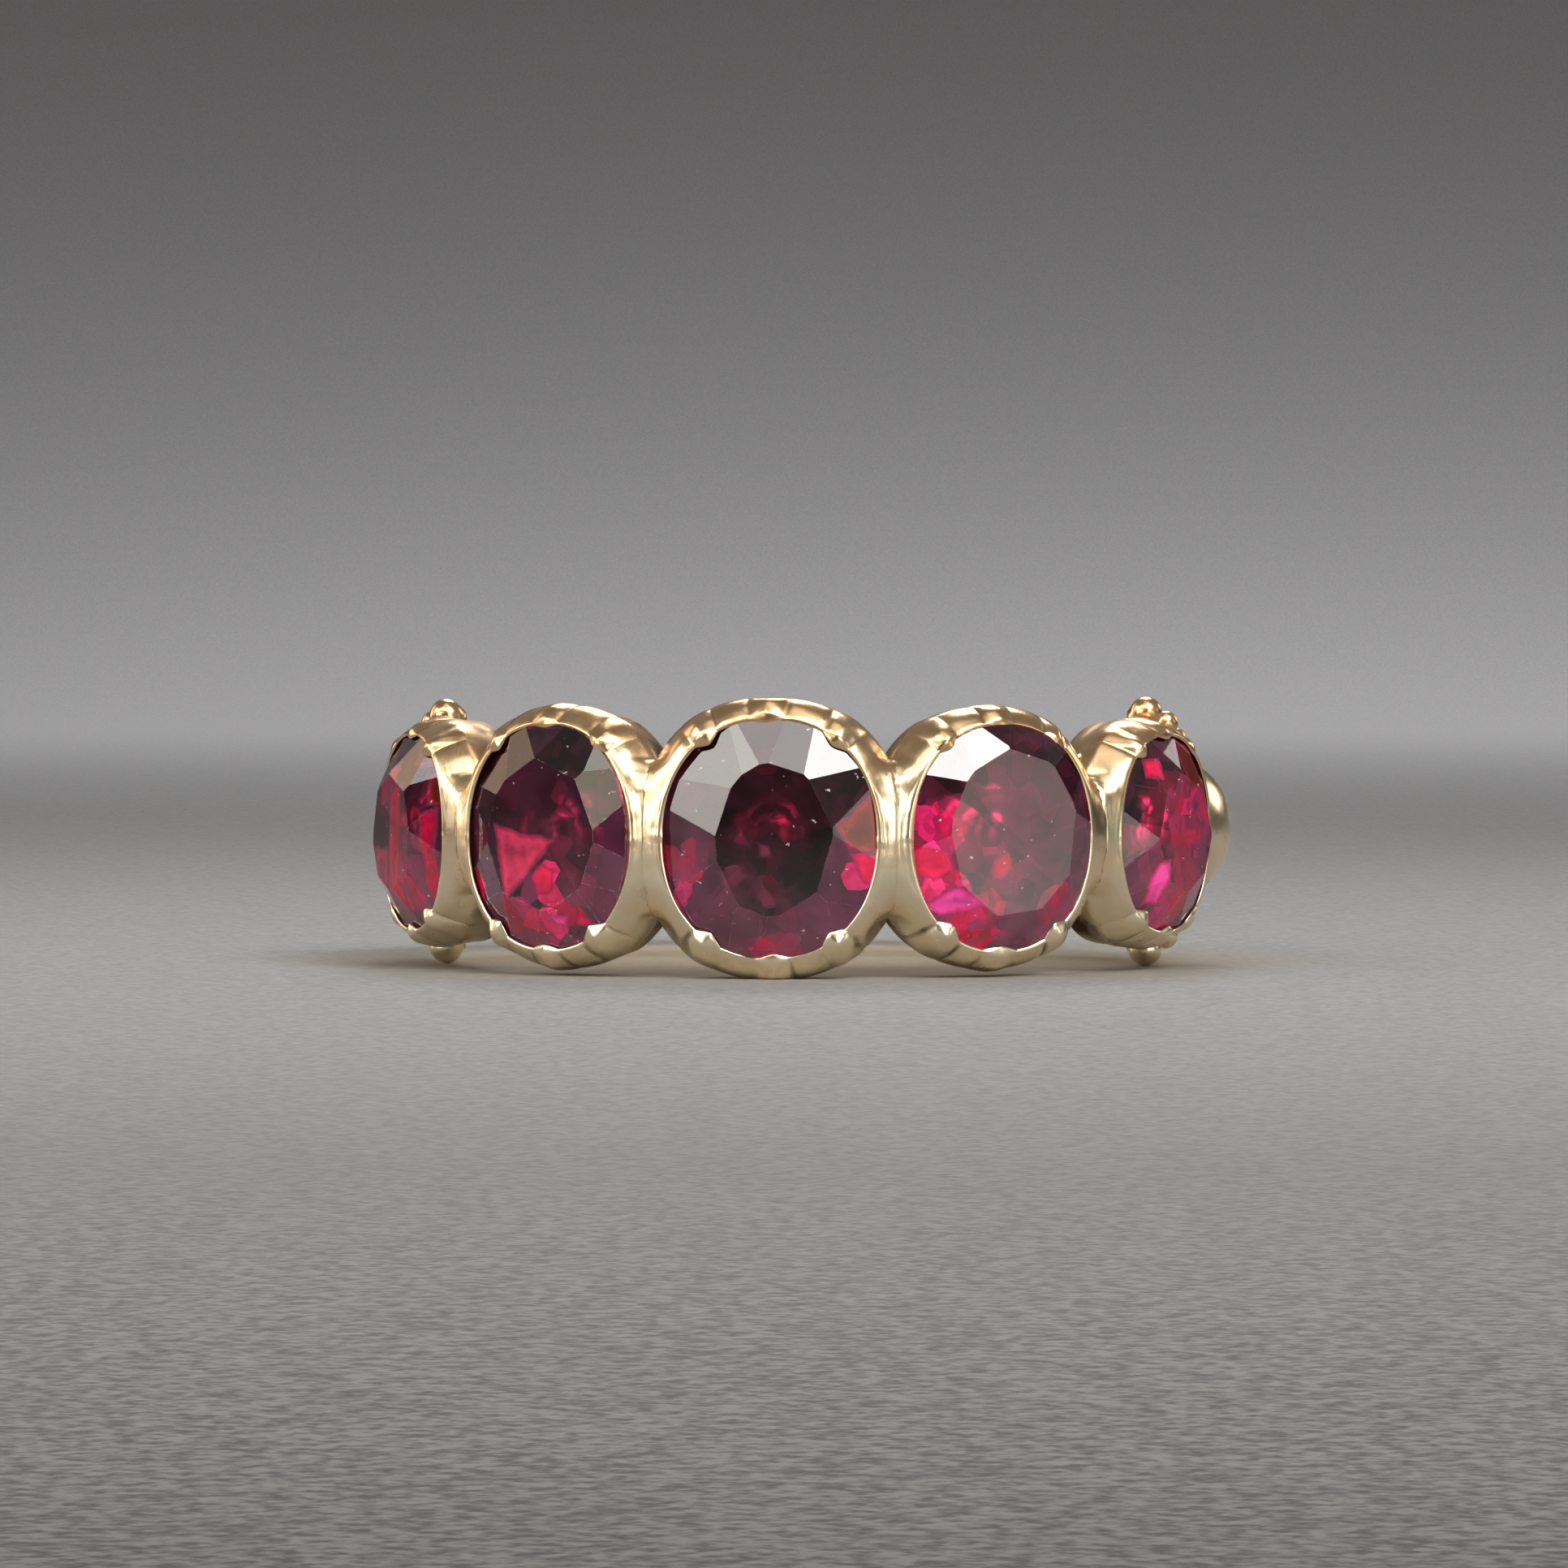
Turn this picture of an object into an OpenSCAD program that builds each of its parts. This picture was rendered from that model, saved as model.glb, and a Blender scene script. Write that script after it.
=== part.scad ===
// Half hoop ring with five foiled stones in cut down collets, lying on its side.
// Millimetres. The finger hole's axis is Z, the middle of the hole is the origin,
// and the centre stone faces -Y.

/* [Hoop] */
// Diameter of the finger hole
finger_hole_d = 17.2; // [15.6:0.2:20.6]
// Width of the hoop behind the finger
hoop_w = 2.4; // [2:0.1:3]
// Thickness of the hoop at the middle of its width
hoop_t = 1.2; // [1:0.05:1.5]

/* [Row of stones] */
// Height of the girdles above the wall of the finger hole
girdle_rise = 1.8; // [1.75:0.05:2.2]
// Width of the centre stone, along the row
center_w = 5.25; // [5:0.05:5.5]
// Height of the centre stone, across the row
center_h = 5.8; // [5.6:0.05:6]
// Width of the two inner stones
inner_w = 4.95; // [4.8:0.05:5.1]
// Height of the two inner stones
inner_h = 5.55; // [5.3:0.05:5.7]
// Width of the two outer stones
outer_w = 4.65; // [4.4:0.05:4.8]
// Height of the two outer stones
outer_h = 4.9; // [4.7:0.05:5.2]
// Gold between the centre stone and an inner one
inner_gap = 0.63; // [0.55:0.01:0.7]
// Gold between an inner stone and an outer one
outer_gap = 0.93; // [0.8:0.01:1]

/* [Cut of the stones] */
// Height of the crown above the girdle
crown_h = 0.72; // [0.6:0.02:0.8]
// Depth of the pavilion below the girdle
pavilion_h = 1.12; // [1:0.02:1.15]
// Thickness of the girdle
girdle_t = 0.12; // [0.08:0.01:0.16]
// Width of the table as a part of the stone's width
table_part = 0.6; // [0.55:0.01:0.62]

/* [Collets] */
// How far the collet's belly stands out past the stone
belly = 0.48; // [0.42:0.01:0.52]
// Clearance between a stone and the gold round it
stone_clear = 0.045; // [0.035:0.005:0.05]
// Length of a claw's tip over the stone
claw_reach = 0.3; // [0.24:0.01:0.32]
// Half the width of a claw, as an angle round the stone
claw_half_angle = 7; // [6:0.5:8]
// Thickness of the foil under a stone
foil_t = 0.05; // [0.04:0.005:0.05]

/* [Shoulders] */
// Radius of the largest bead on a shoulder
bead_r = 0.42; // [0.38:0.01:0.44]
// How far the leaf of a shoulder stands out past the hoop
leaf_rise = 1.25; // [1:0.05:1.3]
// Half the width of the leaf
leaf_half_w = 1.75; // [1.5:0.05:1.85]

/* [Hidden] */

$fn = 96;
gold = "goldenrod";
garnet = "darkred";
foil = "deeppink";

bore_r = finger_hole_d / 2;
girdle_r = bore_r + girdle_rise;
hoop_r = bore_r + hoop_t;
// How far solids that the finger hole trims reach into it
trim = 0.5;

// Angle round the finger between two stones whose girdles are a chord apart
function chord_angle(chord) = 2 * asin(chord / (2 * girdle_r));
inner_angle = chord_angle((center_w + inner_w) / 2 + inner_gap);
outer_angle = inner_angle + chord_angle((inner_w + outer_w) / 2 + outer_gap);

// One row for each stone
//         angle round the finger, width, height
STONES = [
    [-outer_angle, outer_w, outer_h],
    [-inner_angle, inner_w, inner_h],
    [0, center_w, center_h],
    [inner_angle, inner_w, inner_h],
    [outer_angle, outer_w, outer_h]
];
OUTER_LEFT = 0;
INNER_LEFT = 1;
CENTER = 2;
INNER_RIGHT = 3;
OUTER_RIGHT = 4;

// The outline of a stone is a full oval, between an ellipse and a rectangle
oval_power = 2.2;
function oval_r(t, a, b) =
    pow(pow(abs(cos(t)) / a, oval_power) + pow(abs(sin(t)) / b, oval_power), -1 / oval_power);

// Places its children on a stone's seat: X along the row, Y across it, Z away from the finger
module at_stone(i) {
    rotate([0, 0, STONES[i][0]])
        rotate([90, 0, 0])
            translate([0, 0, girdle_r])
                children();
}

// Points [radius, height] at an angle, as a point of a loop
function on_loop(t, r, z) = [r * cos(t), r * sin(t), z];

function middle(points) = [for (axis = [0 : 2]) sum([for (p = points) p[axis]]) / len(points)];
function sum(values) = values * [for (v = values) 1];

// Closed solid through loops of points, from the first loop to the last one.
// Both ends are closed by triangles that meet in the middle of the loop.
module loft(loops) {
    n = len(loops[0]);
    last = len(loops) - 1;
    first_middle = (last + 1) * n;
    last_middle = first_middle + 1;
    sides = [
        for (k = [0 : last - 1])
            for (i = [0 : n - 1])
                let (j = (i + 1) % n)
                    each [
                        [k * n + i, (k + 1) * n + i, (k + 1) * n + j],
                        [k * n + i, (k + 1) * n + j, k * n + j]
                    ]
    ];
    ends = [
        for (i = [0 : n - 1])
            let (j = (i + 1) % n)
                each [
                    [first_middle, i, j],
                    [last_middle, last * n + j, last * n + i]
                ]
    ];
    polyhedron(
        points = concat([for (l = loops) each l], [middle(loops[0]), middle(loops[last])]),
        faces = concat(sides, ends)
    );
}

// Claws round a collet: one at each end of both axes and one on each shoulder of the oval
CLAWS = [0, 57, 90, 123, 180, 237, 270, 303];
claw_count = len(CLAWS);
// Steps between two claws, past the flanks of the claws themselves
wall_steps = 3;

// Angles at which a collet's wall is drawn: close together on the claws, wider between them
function wall_angles() = [
    for (i = [0 : claw_count - 1])
        let (
            start = CLAWS[i],
            end = i + 1 < claw_count ? CLAWS[i + 1] : CLAWS[0] + 360,
            w = claw_half_angle
        )
            each concat(
                [start, start + w / 2],
                [for (k = [0 : wall_steps]) start + w + (end - start - 2 * w) * k / wall_steps],
                [end - w / 2]
            )
];

// Height of a claw's ridge at an angle: 1 on its middle line and 0 past its flanks
function ridge(t) =
    max([
        for (c = CLAWS)
            let (away = abs((t - c + 540) % 360 - 180))
                max(0, 1 - pow(away / claw_half_angle, 2))
    ]);

half_girdle = girdle_t / 2;
// Height of a plain cone from the girdle to the culet, at a part of the stone's radius
function pavilion_z(part) = -half_girdle - pavilion_h * (1 - part);
// The crown's facets meet part of the way up, a little above a plain cone
star_part = 0.8;
star_z = half_girdle + 0.62 * (crown_h - half_girdle);
// The crown is steepest at the ends of the narrowest stone
crown_slope = (star_z - half_girdle) / ((1 - star_part) * outer_w / 2);

// The pavilion's facets meet half way down, a little below the cone
waist_part = 0.55;
waist_sag = 0.1;
// Gap left between stone, foil and cup
foil_gap = 0.04;
foil_sag = waist_sag + foil_gap;
cup_sag = foil_sag + foil_t + 1.5 * foil_gap;
cup_floor_part = 0.08;
claw_tip_z = half_girdle + crown_slope * claw_reach + 1.25 * foil_gap;
foot_z = -girdle_rise - trim;
// How far a claw's ridge stands out of the belly
belly_ridge = 0.04;

// Rows of a collet's wall, from its foot up the outside, over the rim and down the cup.
// Columns: part of the outline, offset from it, height, then offset and height that a claw adds
function wall_rows() = [
    [1, -0.45, foot_z, 0, 0],
    [1, -0.02, -1.6, 0, 0],
    [1, 0.62 * belly, -1.1, 0.03, 0],
    [1, belly, -0.6, belly_ridge, 0],
    [1, 0.95 * belly, -0.25, 1.5 * belly_ridge, 0],
    [1, 0.62 * belly, 0, 0.08, 0.08],
    [1, 0.3 * belly, 0.12, -0.05, claw_tip_z - 0.08],
    [1, stone_clear, 0.11, -stone_clear - claw_reach, claw_tip_z - 0.11],
    [1, stone_clear, 0.08, 0, 0.02],
    [1, stone_clear, -half_girdle - 0.1, 0, 0],
    [waist_part, 0, pavilion_z(waist_part) - cup_sag, 0, 0],
    [cup_floor_part, 0, pavilion_z(0) - cup_sag, 0, 0]
];

module collet(i) {
    a = STONES[i][1] / 2;
    b = STONES[i][2] / 2;
    loops = [
        for (row = wall_rows())
            [
                for (t = wall_angles())
                    let (c = ridge(t), r = oval_r(t, a, b) * row[0] + row[1] + row[3] * c)
                        on_loop(t, r, row[2] + row[4] * c)
            ]
    ];
    at_stone(i) loft(loops);
}

// Band between the feet of two neighbouring collets, clear of the cups in them
band_half_w = 1.95;
band_r = bore_r + 1.15;
band_corner = 0.35;
cup_half_angle = 12.2;

module band(i) {
    start = STONES[i][0] + cup_half_angle;
    end = STONES[i + 1][0] - cup_half_angle;
    rotate([0, 0, start - 90])
        rotate_extrude(angle = end - start)
            difference() {
                translate([bore_r - trim, -band_half_w])
                    square([band_r - bore_r + trim, 2 * band_half_w]);
                for (side = [-1, 1])
                    translate([band_r, side * band_half_w])
                        rotate([0, 0, 45])
                            square(band_corner * sqrt(2), center = true);
            }
}

// Middle of a shoulder, round the finger from the centre stone
leaf_angle = outer_angle + 27;
// Hoop of a D section, from shoulder to shoulder: a circular dome outside and flat sides
dome_r = 1.7;
hoop_start = leaf_angle - 3;

module hoop() {
    rotate([0, 0, hoop_start - 90])
        rotate_extrude(angle = 360 - 2 * hoop_start)
            intersection() {
                translate([hoop_r - dome_r, 0])
                    circle(r = dome_r);
                translate([bore_r - trim, -hoop_w / 2])
                    square([2 * dome_r, hoop_w]);
            }
}

// Sections of a shoulder: a fan shaped plate with a domed leaf along its middle.
// Columns: angle past the leaf's middle, half width and rise of the fan above the finger hole,
// half width of the leaf as a part of its widest, and its rise past the hoop as a part of its highest
SHOULDER = [
    [-20, 2.3, 0.5, 0.5, -0.5],
    [-14.4, 2.95, 0.65, 0.75, -0.1],
    [-7, 2.8, 0.95, 0.94, 0.6],
    [0, 2.42, 1.15, 1, 0.95],
    [7, 2.05, 1.15, 0.97, 1],
    [16, 1.6, 1, 0.82, 0.65],
    [26, 1.28, 0.8, 0.66, 0.25],
    [38, 1.08, 0.6, 0.5, -0.15]
];
// Sections drawn for each row of the table, and points over the leaf's dome
shoulder_steps = 3;
dome_steps = 8;

// Row of a table at a part of the way from row k to the next, on a curve through all the rows
function between(rows, k, f) =
    let (
        before = rows[max(k - 1, 0)],
        here = rows[k],
        next = rows[min(k + 1, len(rows) - 1)],
        after = rows[min(k + 2, len(rows) - 1)]
    )
        here + 0.5 * f * (next - before
            + f * (2 * before - 5 * here + 4 * next - after
            + f * (3 * (here - next) + after - before)));

// Loop round one section of a shoulder
function shoulder_loop(row) =
    let (
        fan_r = bore_r + row[2],
        leaf_w = leaf_half_w * row[3],
        leaf_r = hoop_r + leaf_rise * row[4],
        outline = concat(
            [[bore_r - trim, -row[1]], [bore_r - trim, row[1]], [fan_r, row[1]]],
            [
                for (k = [0 : dome_steps])
                    let (turn = 180 * k / dome_steps)
                        [fan_r + (leaf_r - fan_r) * sin(turn), leaf_w * cos(turn)]
            ],
            [[fan_r, -row[1]]]
        )
    )
        [for (p = outline) [p[0] * sin(row[0]), -p[0] * cos(row[0]), p[1]]];

module shoulder_body() {
    spans = len(SHOULDER) - 1;
    loft([
        for (k = [0 : spans * shoulder_steps])
            let (row = floor(k / shoulder_steps))
                shoulder_loop(between(SHOULDER, row, k / shoulder_steps - row))
    ]);
}

// The ring lies on the centre collet and on the largest bead of each shoulder
rest_z = center_h / 2 + belly + belly_ridge;

// Beads on each edge of a shoulder, largest first.
// Columns: angle past the leaf's middle, rise above the finger hole, height, size
BEADS = [
    [-14.4, 0.55, rest_z - bead_r, 1],
    [-7, 1, 2.76, 0.78],
    [0, 1.3, 2.38, 0.7]
];

module beads() {
    for (bead = BEADS)
        for (side = [-1, 1])
            rotate([0, 0, bead[0]])
                translate([0, -bore_r - bead[1], side * bead[2]])
                    sphere(r = bead_r * bead[3]);
}

module shoulder() {
    shoulder_body();
    beads();
}

module gold_mount() {
    color(gold)
        difference() {
            union() {
                hoop();
                for (i = [0 : len(STONES) - 2])
                    band(i);
                for (i = [0 : len(STONES) - 1])
                    collet(i);
                rotate([0, 0, leaf_angle])
                    shoulder();
                mirror([1, 0, 0])
                    rotate([0, 0, leaf_angle])
                        shoulder();
            }
            translate([0, 0, -center_h])
                cylinder(r = bore_r, h = 2 * center_h);
        }
}

// Facets round a stone: as many corners on its table, and four girdle points to each
corners = 8;
corner_step = 360 / corners;
girdle_points = 4 * corners;

// Old mixed cut: table, stars, kites and upper facets above, kites and lower facets below
module stone(i) {
    a = STONES[i][1] / 2;
    b = STONES[i][2] / 2;
    table = [
        for (k = [0 : corners - 1])
            let (t = k * corner_step)
                on_loop(t, oval_r(t, a, b) * table_part, crown_h)
    ];
    stars = [
        for (k = [0 : corners - 1])
            let (t = (k + 0.5) * corner_step)
                on_loop(t, oval_r(t, a, b) * star_part, star_z)
    ];
    girdle = [
        for (z = [half_girdle, -half_girdle])
            for (k = [0 : girdle_points - 1])
                let (t = k * 360 / girdle_points)
                    on_loop(t, oval_r(t, a, b), z)
    ];
    waist = [
        for (k = [0 : corners - 1])
            let (t = (k + 0.5) * corner_step)
                on_loop(t, oval_r(t, a, b) * waist_part, pavilion_z(waist_part) - waist_sag)
    ];
    culet = [[0, 0, pavilion_z(0)]];
    top = corners;
    rim = 2 * corners;
    low = rim + girdle_points;
    deep = low + girdle_points;
    tip = deep + corners;
    table_face = [[for (k = [corners - 1 : -1 : 0]) k]];
    facets = [
        for (k = [0 : corners - 1])
            let (next = (k + 1) % corners, g = 4 * k, far = (4 * k + 4) % girdle_points)
                each [
                    [k, next, top + k],
                    [k, top + k, rim + g],
                    [next, rim + far, top + k],
                    for (m = [0 : 3])
                        [top + k, rim + (g + m + 1) % girdle_points, rim + g + m],
                    for (m = [0 : 3])
                        let (here = g + m, beside = (here + 1) % girdle_points)
                            each [
                                [rim + here, rim + beside, low + here],
                                [rim + beside, low + beside, low + here]
                            ],
                    for (m = [0 : 3])
                        [deep + k, low + g + m, low + (g + m + 1) % girdle_points],
                    [deep + k, tip, low + g],
                    [deep + k, low + far, tip]
                ]
    ];
    at_stone(i)
        color(garnet)
            polyhedron(
                points = concat(table, stars, girdle, waist, culet),
                faces = concat(table_face, facets)
            );
}

// Foil cup under a stone: down its outside from the edge, across the bottom and back up inside
foil_edge_part = 0.93;
foil_bottom_part = 0.06;
foil_steps = 32;
FOIL_PARTS = [foil_edge_part, waist_part, foil_bottom_part];
FOIL_SAGS = [foil_gap, foil_sag, foil_sag];

module foil_cup(i) {
    a = STONES[i][1] / 2;
    b = STONES[i][2] / 2;
    function ring_at(k, drop) = [
        for (s = [0 : foil_steps - 1])
            let (t = s * 360 / foil_steps)
                on_loop(t, oval_r(t, a, b) * FOIL_PARTS[k], pavilion_z(FOIL_PARTS[k]) - FOIL_SAGS[k] - drop)
    ];
    outside = [for (k = [2 : -1 : 0]) ring_at(k, foil_t)];
    inside = [for (k = [0 : 2]) ring_at(k, 0)];
    at_stone(i)
        color(foil)
            loft(concat(outside, inside));
}

gold_mount();
stone(CENTER);  // garnet_center
stone(INNER_LEFT);  // garnet_inner_left
stone(INNER_RIGHT);  // garnet_inner_right
stone(OUTER_LEFT);  // garnet_outer_left
stone(OUTER_RIGHT);  // garnet_outer_right
foil_cup(CENTER);  // foil_center
foil_cup(INNER_LEFT);  // foil_inner_left
foil_cup(INNER_RIGHT);  // foil_inner_right
foil_cup(OUTER_LEFT);  // foil_outer_left
foil_cup(OUTER_RIGHT);  // foil_outer_right
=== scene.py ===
"""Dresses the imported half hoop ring: a gold mount, five foiled garnets and a plain studio.

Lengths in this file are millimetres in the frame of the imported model: the finger hole's axis
is Z, the middle of the hole is the origin and the centre stone faces -Y. A mesh is turned into
metres when it is made. An angle round the finger starts at the centre stone and grows towards +X.
"""
import itertools
import logging
import math
from dataclasses import dataclass, field, replace
from enum import Enum
from typing import Callable, Sequence

import bpy
import numpy as np
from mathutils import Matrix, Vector


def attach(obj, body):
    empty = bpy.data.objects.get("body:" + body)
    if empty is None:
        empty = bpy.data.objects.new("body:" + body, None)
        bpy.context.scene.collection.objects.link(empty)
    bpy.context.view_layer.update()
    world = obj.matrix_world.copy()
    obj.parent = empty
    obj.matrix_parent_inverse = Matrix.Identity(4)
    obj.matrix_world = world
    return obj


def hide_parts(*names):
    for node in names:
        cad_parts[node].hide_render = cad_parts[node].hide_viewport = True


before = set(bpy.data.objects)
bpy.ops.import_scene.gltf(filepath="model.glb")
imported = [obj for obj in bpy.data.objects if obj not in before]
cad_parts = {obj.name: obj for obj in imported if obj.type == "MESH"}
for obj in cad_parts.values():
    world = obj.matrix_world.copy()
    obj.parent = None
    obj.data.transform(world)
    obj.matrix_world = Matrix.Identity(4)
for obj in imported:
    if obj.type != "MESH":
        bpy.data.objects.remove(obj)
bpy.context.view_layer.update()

Array = np.ndarray
Field = Callable[[Array], Array]

log = logging.getLogger("ring")

MM = 0.001

# First seed of all draws, the step from a stone's to the next one's, and where each kind of
# piece starts to count its patterns of noise
SEED = 5
STONE_SEED_STEP = 11
COLLET_SEED = 20
FOIL_SEED = 30
FOIL_DRAW_SEED = 40
HOOP_SEED = 41
BAND_SEED = 60
SHOULDER_SEED = 70
BEAD_SEED = 80

# Finger hole, row of stones and hoop
BORE_R = 8.6
GIRDLE_R = 10.4
REST_Z = 3.42
LEAF_ANGLE = 90.96

# Solder: rounds in which its fillet is found, and its highest rise as a part of its radius
SOLDER_ROUNDS = 6
SOLDER_TOP = 0.35


class Side(Enum):
    """Which shoulder a piece belongs to, as the sign of its angle round the finger."""

    LEFT = -1
    RIGHT = 1

    @property
    def key(self) -> str:
        """The side's name as pieces are named."""
        return self.name.lower()


# Numbers on whole arrays

# Large primes that mix a lattice corner's three numbers and the seed, then the mix itself, and
# the bits that are kept of it
LATTICE_PRIMES = (73856093, 19349663, 83492791, 2654435761)
MIX_PRIME = 1274126177
LONG_BITS = 0xFFFFFFFF
SHORT_BITS = 0xFFFF


def smooth_rows(rows: Sequence[Sequence[float]], steps: int) -> Array:
    """Carries a smooth curve through the rows of a table.

    Each span is the cubic that leaves a row with half the difference of the two rows beside it.

    Args:
        rows: table with a row for each station.
        steps: points drawn for each span.

    Returns:
        The denser table, from the first row to the last one.
    """
    table = np.asarray(rows, float)
    spans = np.arange(len(table) - 1)
    before = table[np.maximum(spans - 1, 0)][:, None]
    here, after = table[:-1][:, None], table[1:][:, None]
    beyond = table[np.minimum(spans + 2, len(table) - 1)][:, None]
    part = np.linspace(0, 1, steps, endpoint=False)[None, :, None]
    cubic = 3 * (here - after) + beyond - before
    square = 2 * before - 5 * here + 4 * after - beyond
    curve = here + 0.5 * part * (after - before + part * (square + part * cubic))
    return np.concatenate([curve.reshape(-1, table.shape[1]), table[-1:]])


def value_noise(points: Array, size: float, seed: int) -> Array:
    """Soft noise in space: random numbers on a cubic lattice, blended between its eight corners.

    Args:
        points: places, one to a row.
        size: edge of a lattice cell.
        seed: picks the random numbers.

    Returns:
        One number from -1 to 1 for each place.
    """
    scaled = points / size
    cell = np.floor(scaled).astype(np.int64)
    part = scaled - cell
    part = part * part * (3 - 2 * part)
    total = np.zeros(len(points))
    for corner in itertools.product((0, 1), repeat=3):
        at = (cell + np.array(corner)) * np.array(LATTICE_PRIMES[:3])
        mixed = (at[:, 0] ^ at[:, 1] ^ at[:, 2] ^ seed * LATTICE_PRIMES[3]) & LONG_BITS
        mixed = (mixed ^ (mixed >> 13)) * MIX_PRIME & LONG_BITS
        number = ((mixed ^ (mixed >> 16)) & SHORT_BITS) / SHORT_BITS
        total += number * np.prod(np.where(np.array(corner) == 1, part, 1 - part), axis=1)
    return 2 * total - 1


def around_finger(angle: Array, radius: Array, height: Array) -> Array:
    """Points at angles round the finger, in radians, at radii from its axis and at heights."""
    return np.stack([radius * np.sin(angle), -radius * np.cos(angle), height], axis=-1)


def finger_angle(points: Array) -> Array:
    """Angle round the finger of each point, in degrees from the centre stone."""
    return np.degrees(np.arctan2(points[:, 0], -points[:, 1]))


def turns(count: int) -> Array:
    """Angles once round, in radians, as one row of a grid."""
    return np.linspace(0, 2 * np.pi, count, endpoint=False)[None, :]


def power_wave(wave: Array, power: float) -> Array:
    """A wave flattened or sharpened: its size to a power, with its own sign."""
    return np.sign(wave) * np.abs(wave) ** power


def grid_normals(grid: Array) -> Array:
    """Unit normals of a grid: the cross product of the steps round a row and along the rows.

    Args:
        grid: points, rows first, closed along the second axis.

    Returns:
        A normal for each point.
    """
    along = np.gradient(grid, axis=0)
    around = np.roll(grid, -1, axis=1) - np.roll(grid, 1, axis=1)
    normal = np.cross(around, along)
    return normal / np.maximum(np.linalg.norm(normal, axis=2, keepdims=True), 1e-12)


def dented(grid: Array, depth: float, size: float, seed: int) -> Array:
    """Moves a grid along its normals by soft noise.

    Args:
        grid: points, closed along the second axis.
        depth: furthest that a point moves.
        size: size of a dent.
        seed: picks the noise.

    Returns:
        The dented grid.
    """
    wave = depth * value_noise(grid.reshape(-1, 3), size, seed).reshape(grid.shape[:2])
    return grid + grid_normals(grid) * wave[..., None]


def held_off_axis(grid: Array, lowest: float, highest: float = np.inf) -> Array:
    """Holds a grid's distance from the finger's axis between two radii.

    Args:
        grid: points, rows first.
        lowest: least radius.
        highest: greatest radius.

    Returns:
        The grid with its points moved straight out or in where they have to be.
    """
    from_axis = np.hypot(grid[..., 0], grid[..., 1])
    part = np.clip(from_axis, lowest, highest) / from_axis
    return grid * np.stack([part, part, np.ones_like(part)], axis=-1)


def held_flat(grid: Array) -> Array:
    """The grid with its heights held between the planes on which the ring's sides lie."""
    height = np.clip(grid[..., 2:], -REST_Z, REST_Z)
    return np.concatenate([grid[..., :2], height], axis=-1)


def nearest(points: Array, solids: Sequence[Field]) -> Array:
    """Distance from each point to the nearest of some solids."""
    return np.min([solid(points) for solid in solids], axis=0)


def seam(gap: Array, width: float) -> Array:
    """How much of a seam's dirt a gap keeps: a bell curve of the gap over a width."""
    return np.exp(-((np.clip(gap, 0, None) / width) ** 2))


def patches(points: Array, size: float, seed: int) -> Array:
    """Soft noise from 0 to 1, for dirt that stays in patches."""
    return 0.5 + 0.5 * value_noise(points, size, seed)


def soldered(grid: Array, own: Field, neighbours: Sequence[Field], radius: float, share: Array) -> Array:
    """Raises a surface where it nears its neighbours, so that they meet in a round fillet.

    The points go out along their normals, in a few rounds, to where the lesser of the distances
    from the two solids is the square of (radius less their difference) over four times the
    radius: the smooth union of the solids. Past the middle of the joint they rise no further.

    Args:
        grid: points of the surface, closed along the second axis.
        own: distance function of the solid itself.
        neighbours: distance functions of the solids beside it.
        radius: distance at which the fillet starts.
        share: part of the rise that each row of the grid takes.

    Returns:
        The raised grid.
    """
    if not neighbours:
        return grid
    shape = grid.shape
    normals = grid_normals(grid).reshape(-1, 3)
    flat = grid.reshape(-1, 3)
    rise = np.zeros(len(flat))
    start = own(flat)
    for _ in range(SOLDER_ROUNDS):
        moved = flat + normals * rise[:, None]
        over = own(moved) - start
        gap = nearest(moved, neighbours)
        union = np.clip(radius - np.abs(over - gap), 0, None) ** 2 / (4 * radius)
        step = np.minimum(union - np.minimum(over, gap), radius / 4 - over)
        rise = np.clip(rise + step, 0, SOLDER_TOP * radius)
    rise *= np.repeat(share, shape[1])
    return (flat + normals * rise[:, None]).reshape(shape)


# Meshes


@dataclass
class Mesh:
    """Points in millimetres, faces as lists of point numbers, and numbers kept on either."""

    points: Array
    faces: list[list[int]]
    marks: dict[str, Array] = field(default_factory=dict)
    face_marks: dict[str, Array] = field(default_factory=dict)

    def joined(self, other: "Mesh") -> "Mesh":
        """Joins another mesh to this one.

        Args:
            other: a mesh with the same marks on its points.

        Returns:
            Both as a single mesh.
        """
        shift = len(self.points)
        faces = self.faces + [[i + shift for i in face] for face in other.faces]
        marks = {k: np.concatenate([self.marks[k], other.marks[k]]) for k in self.marks}
        return Mesh(np.concatenate([self.points, other.points]), faces, marks)

    def made(self, name: str, smooth: bool = True) -> bpy.types.Object:
        """Makes the mesh an object of the scene.

        Args:
            name: name of the object.
            smooth: whether its faces are shaded as one curved surface.

        Returns:
            The object, at the origin, with its place in its mesh.
        """
        mesh = bpy.data.meshes.new(name)
        mesh.from_pydata((self.points * MM).tolist(), [], self.faces)
        mesh.validate()
        for domain, marks in (("POINT", self.marks), ("FACE", self.face_marks)):
            for key, values in marks.items():
                attribute = mesh.attributes.new(key, "FLOAT", domain)
                attribute.data.foreach_set("value", np.asarray(values, np.float32))
        mesh.polygons.foreach_set("use_smooth", np.full(len(mesh.polygons), smooth))
        made = bpy.data.objects.new(name, mesh)
        bpy.context.scene.collection.objects.link(made)
        return made


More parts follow.
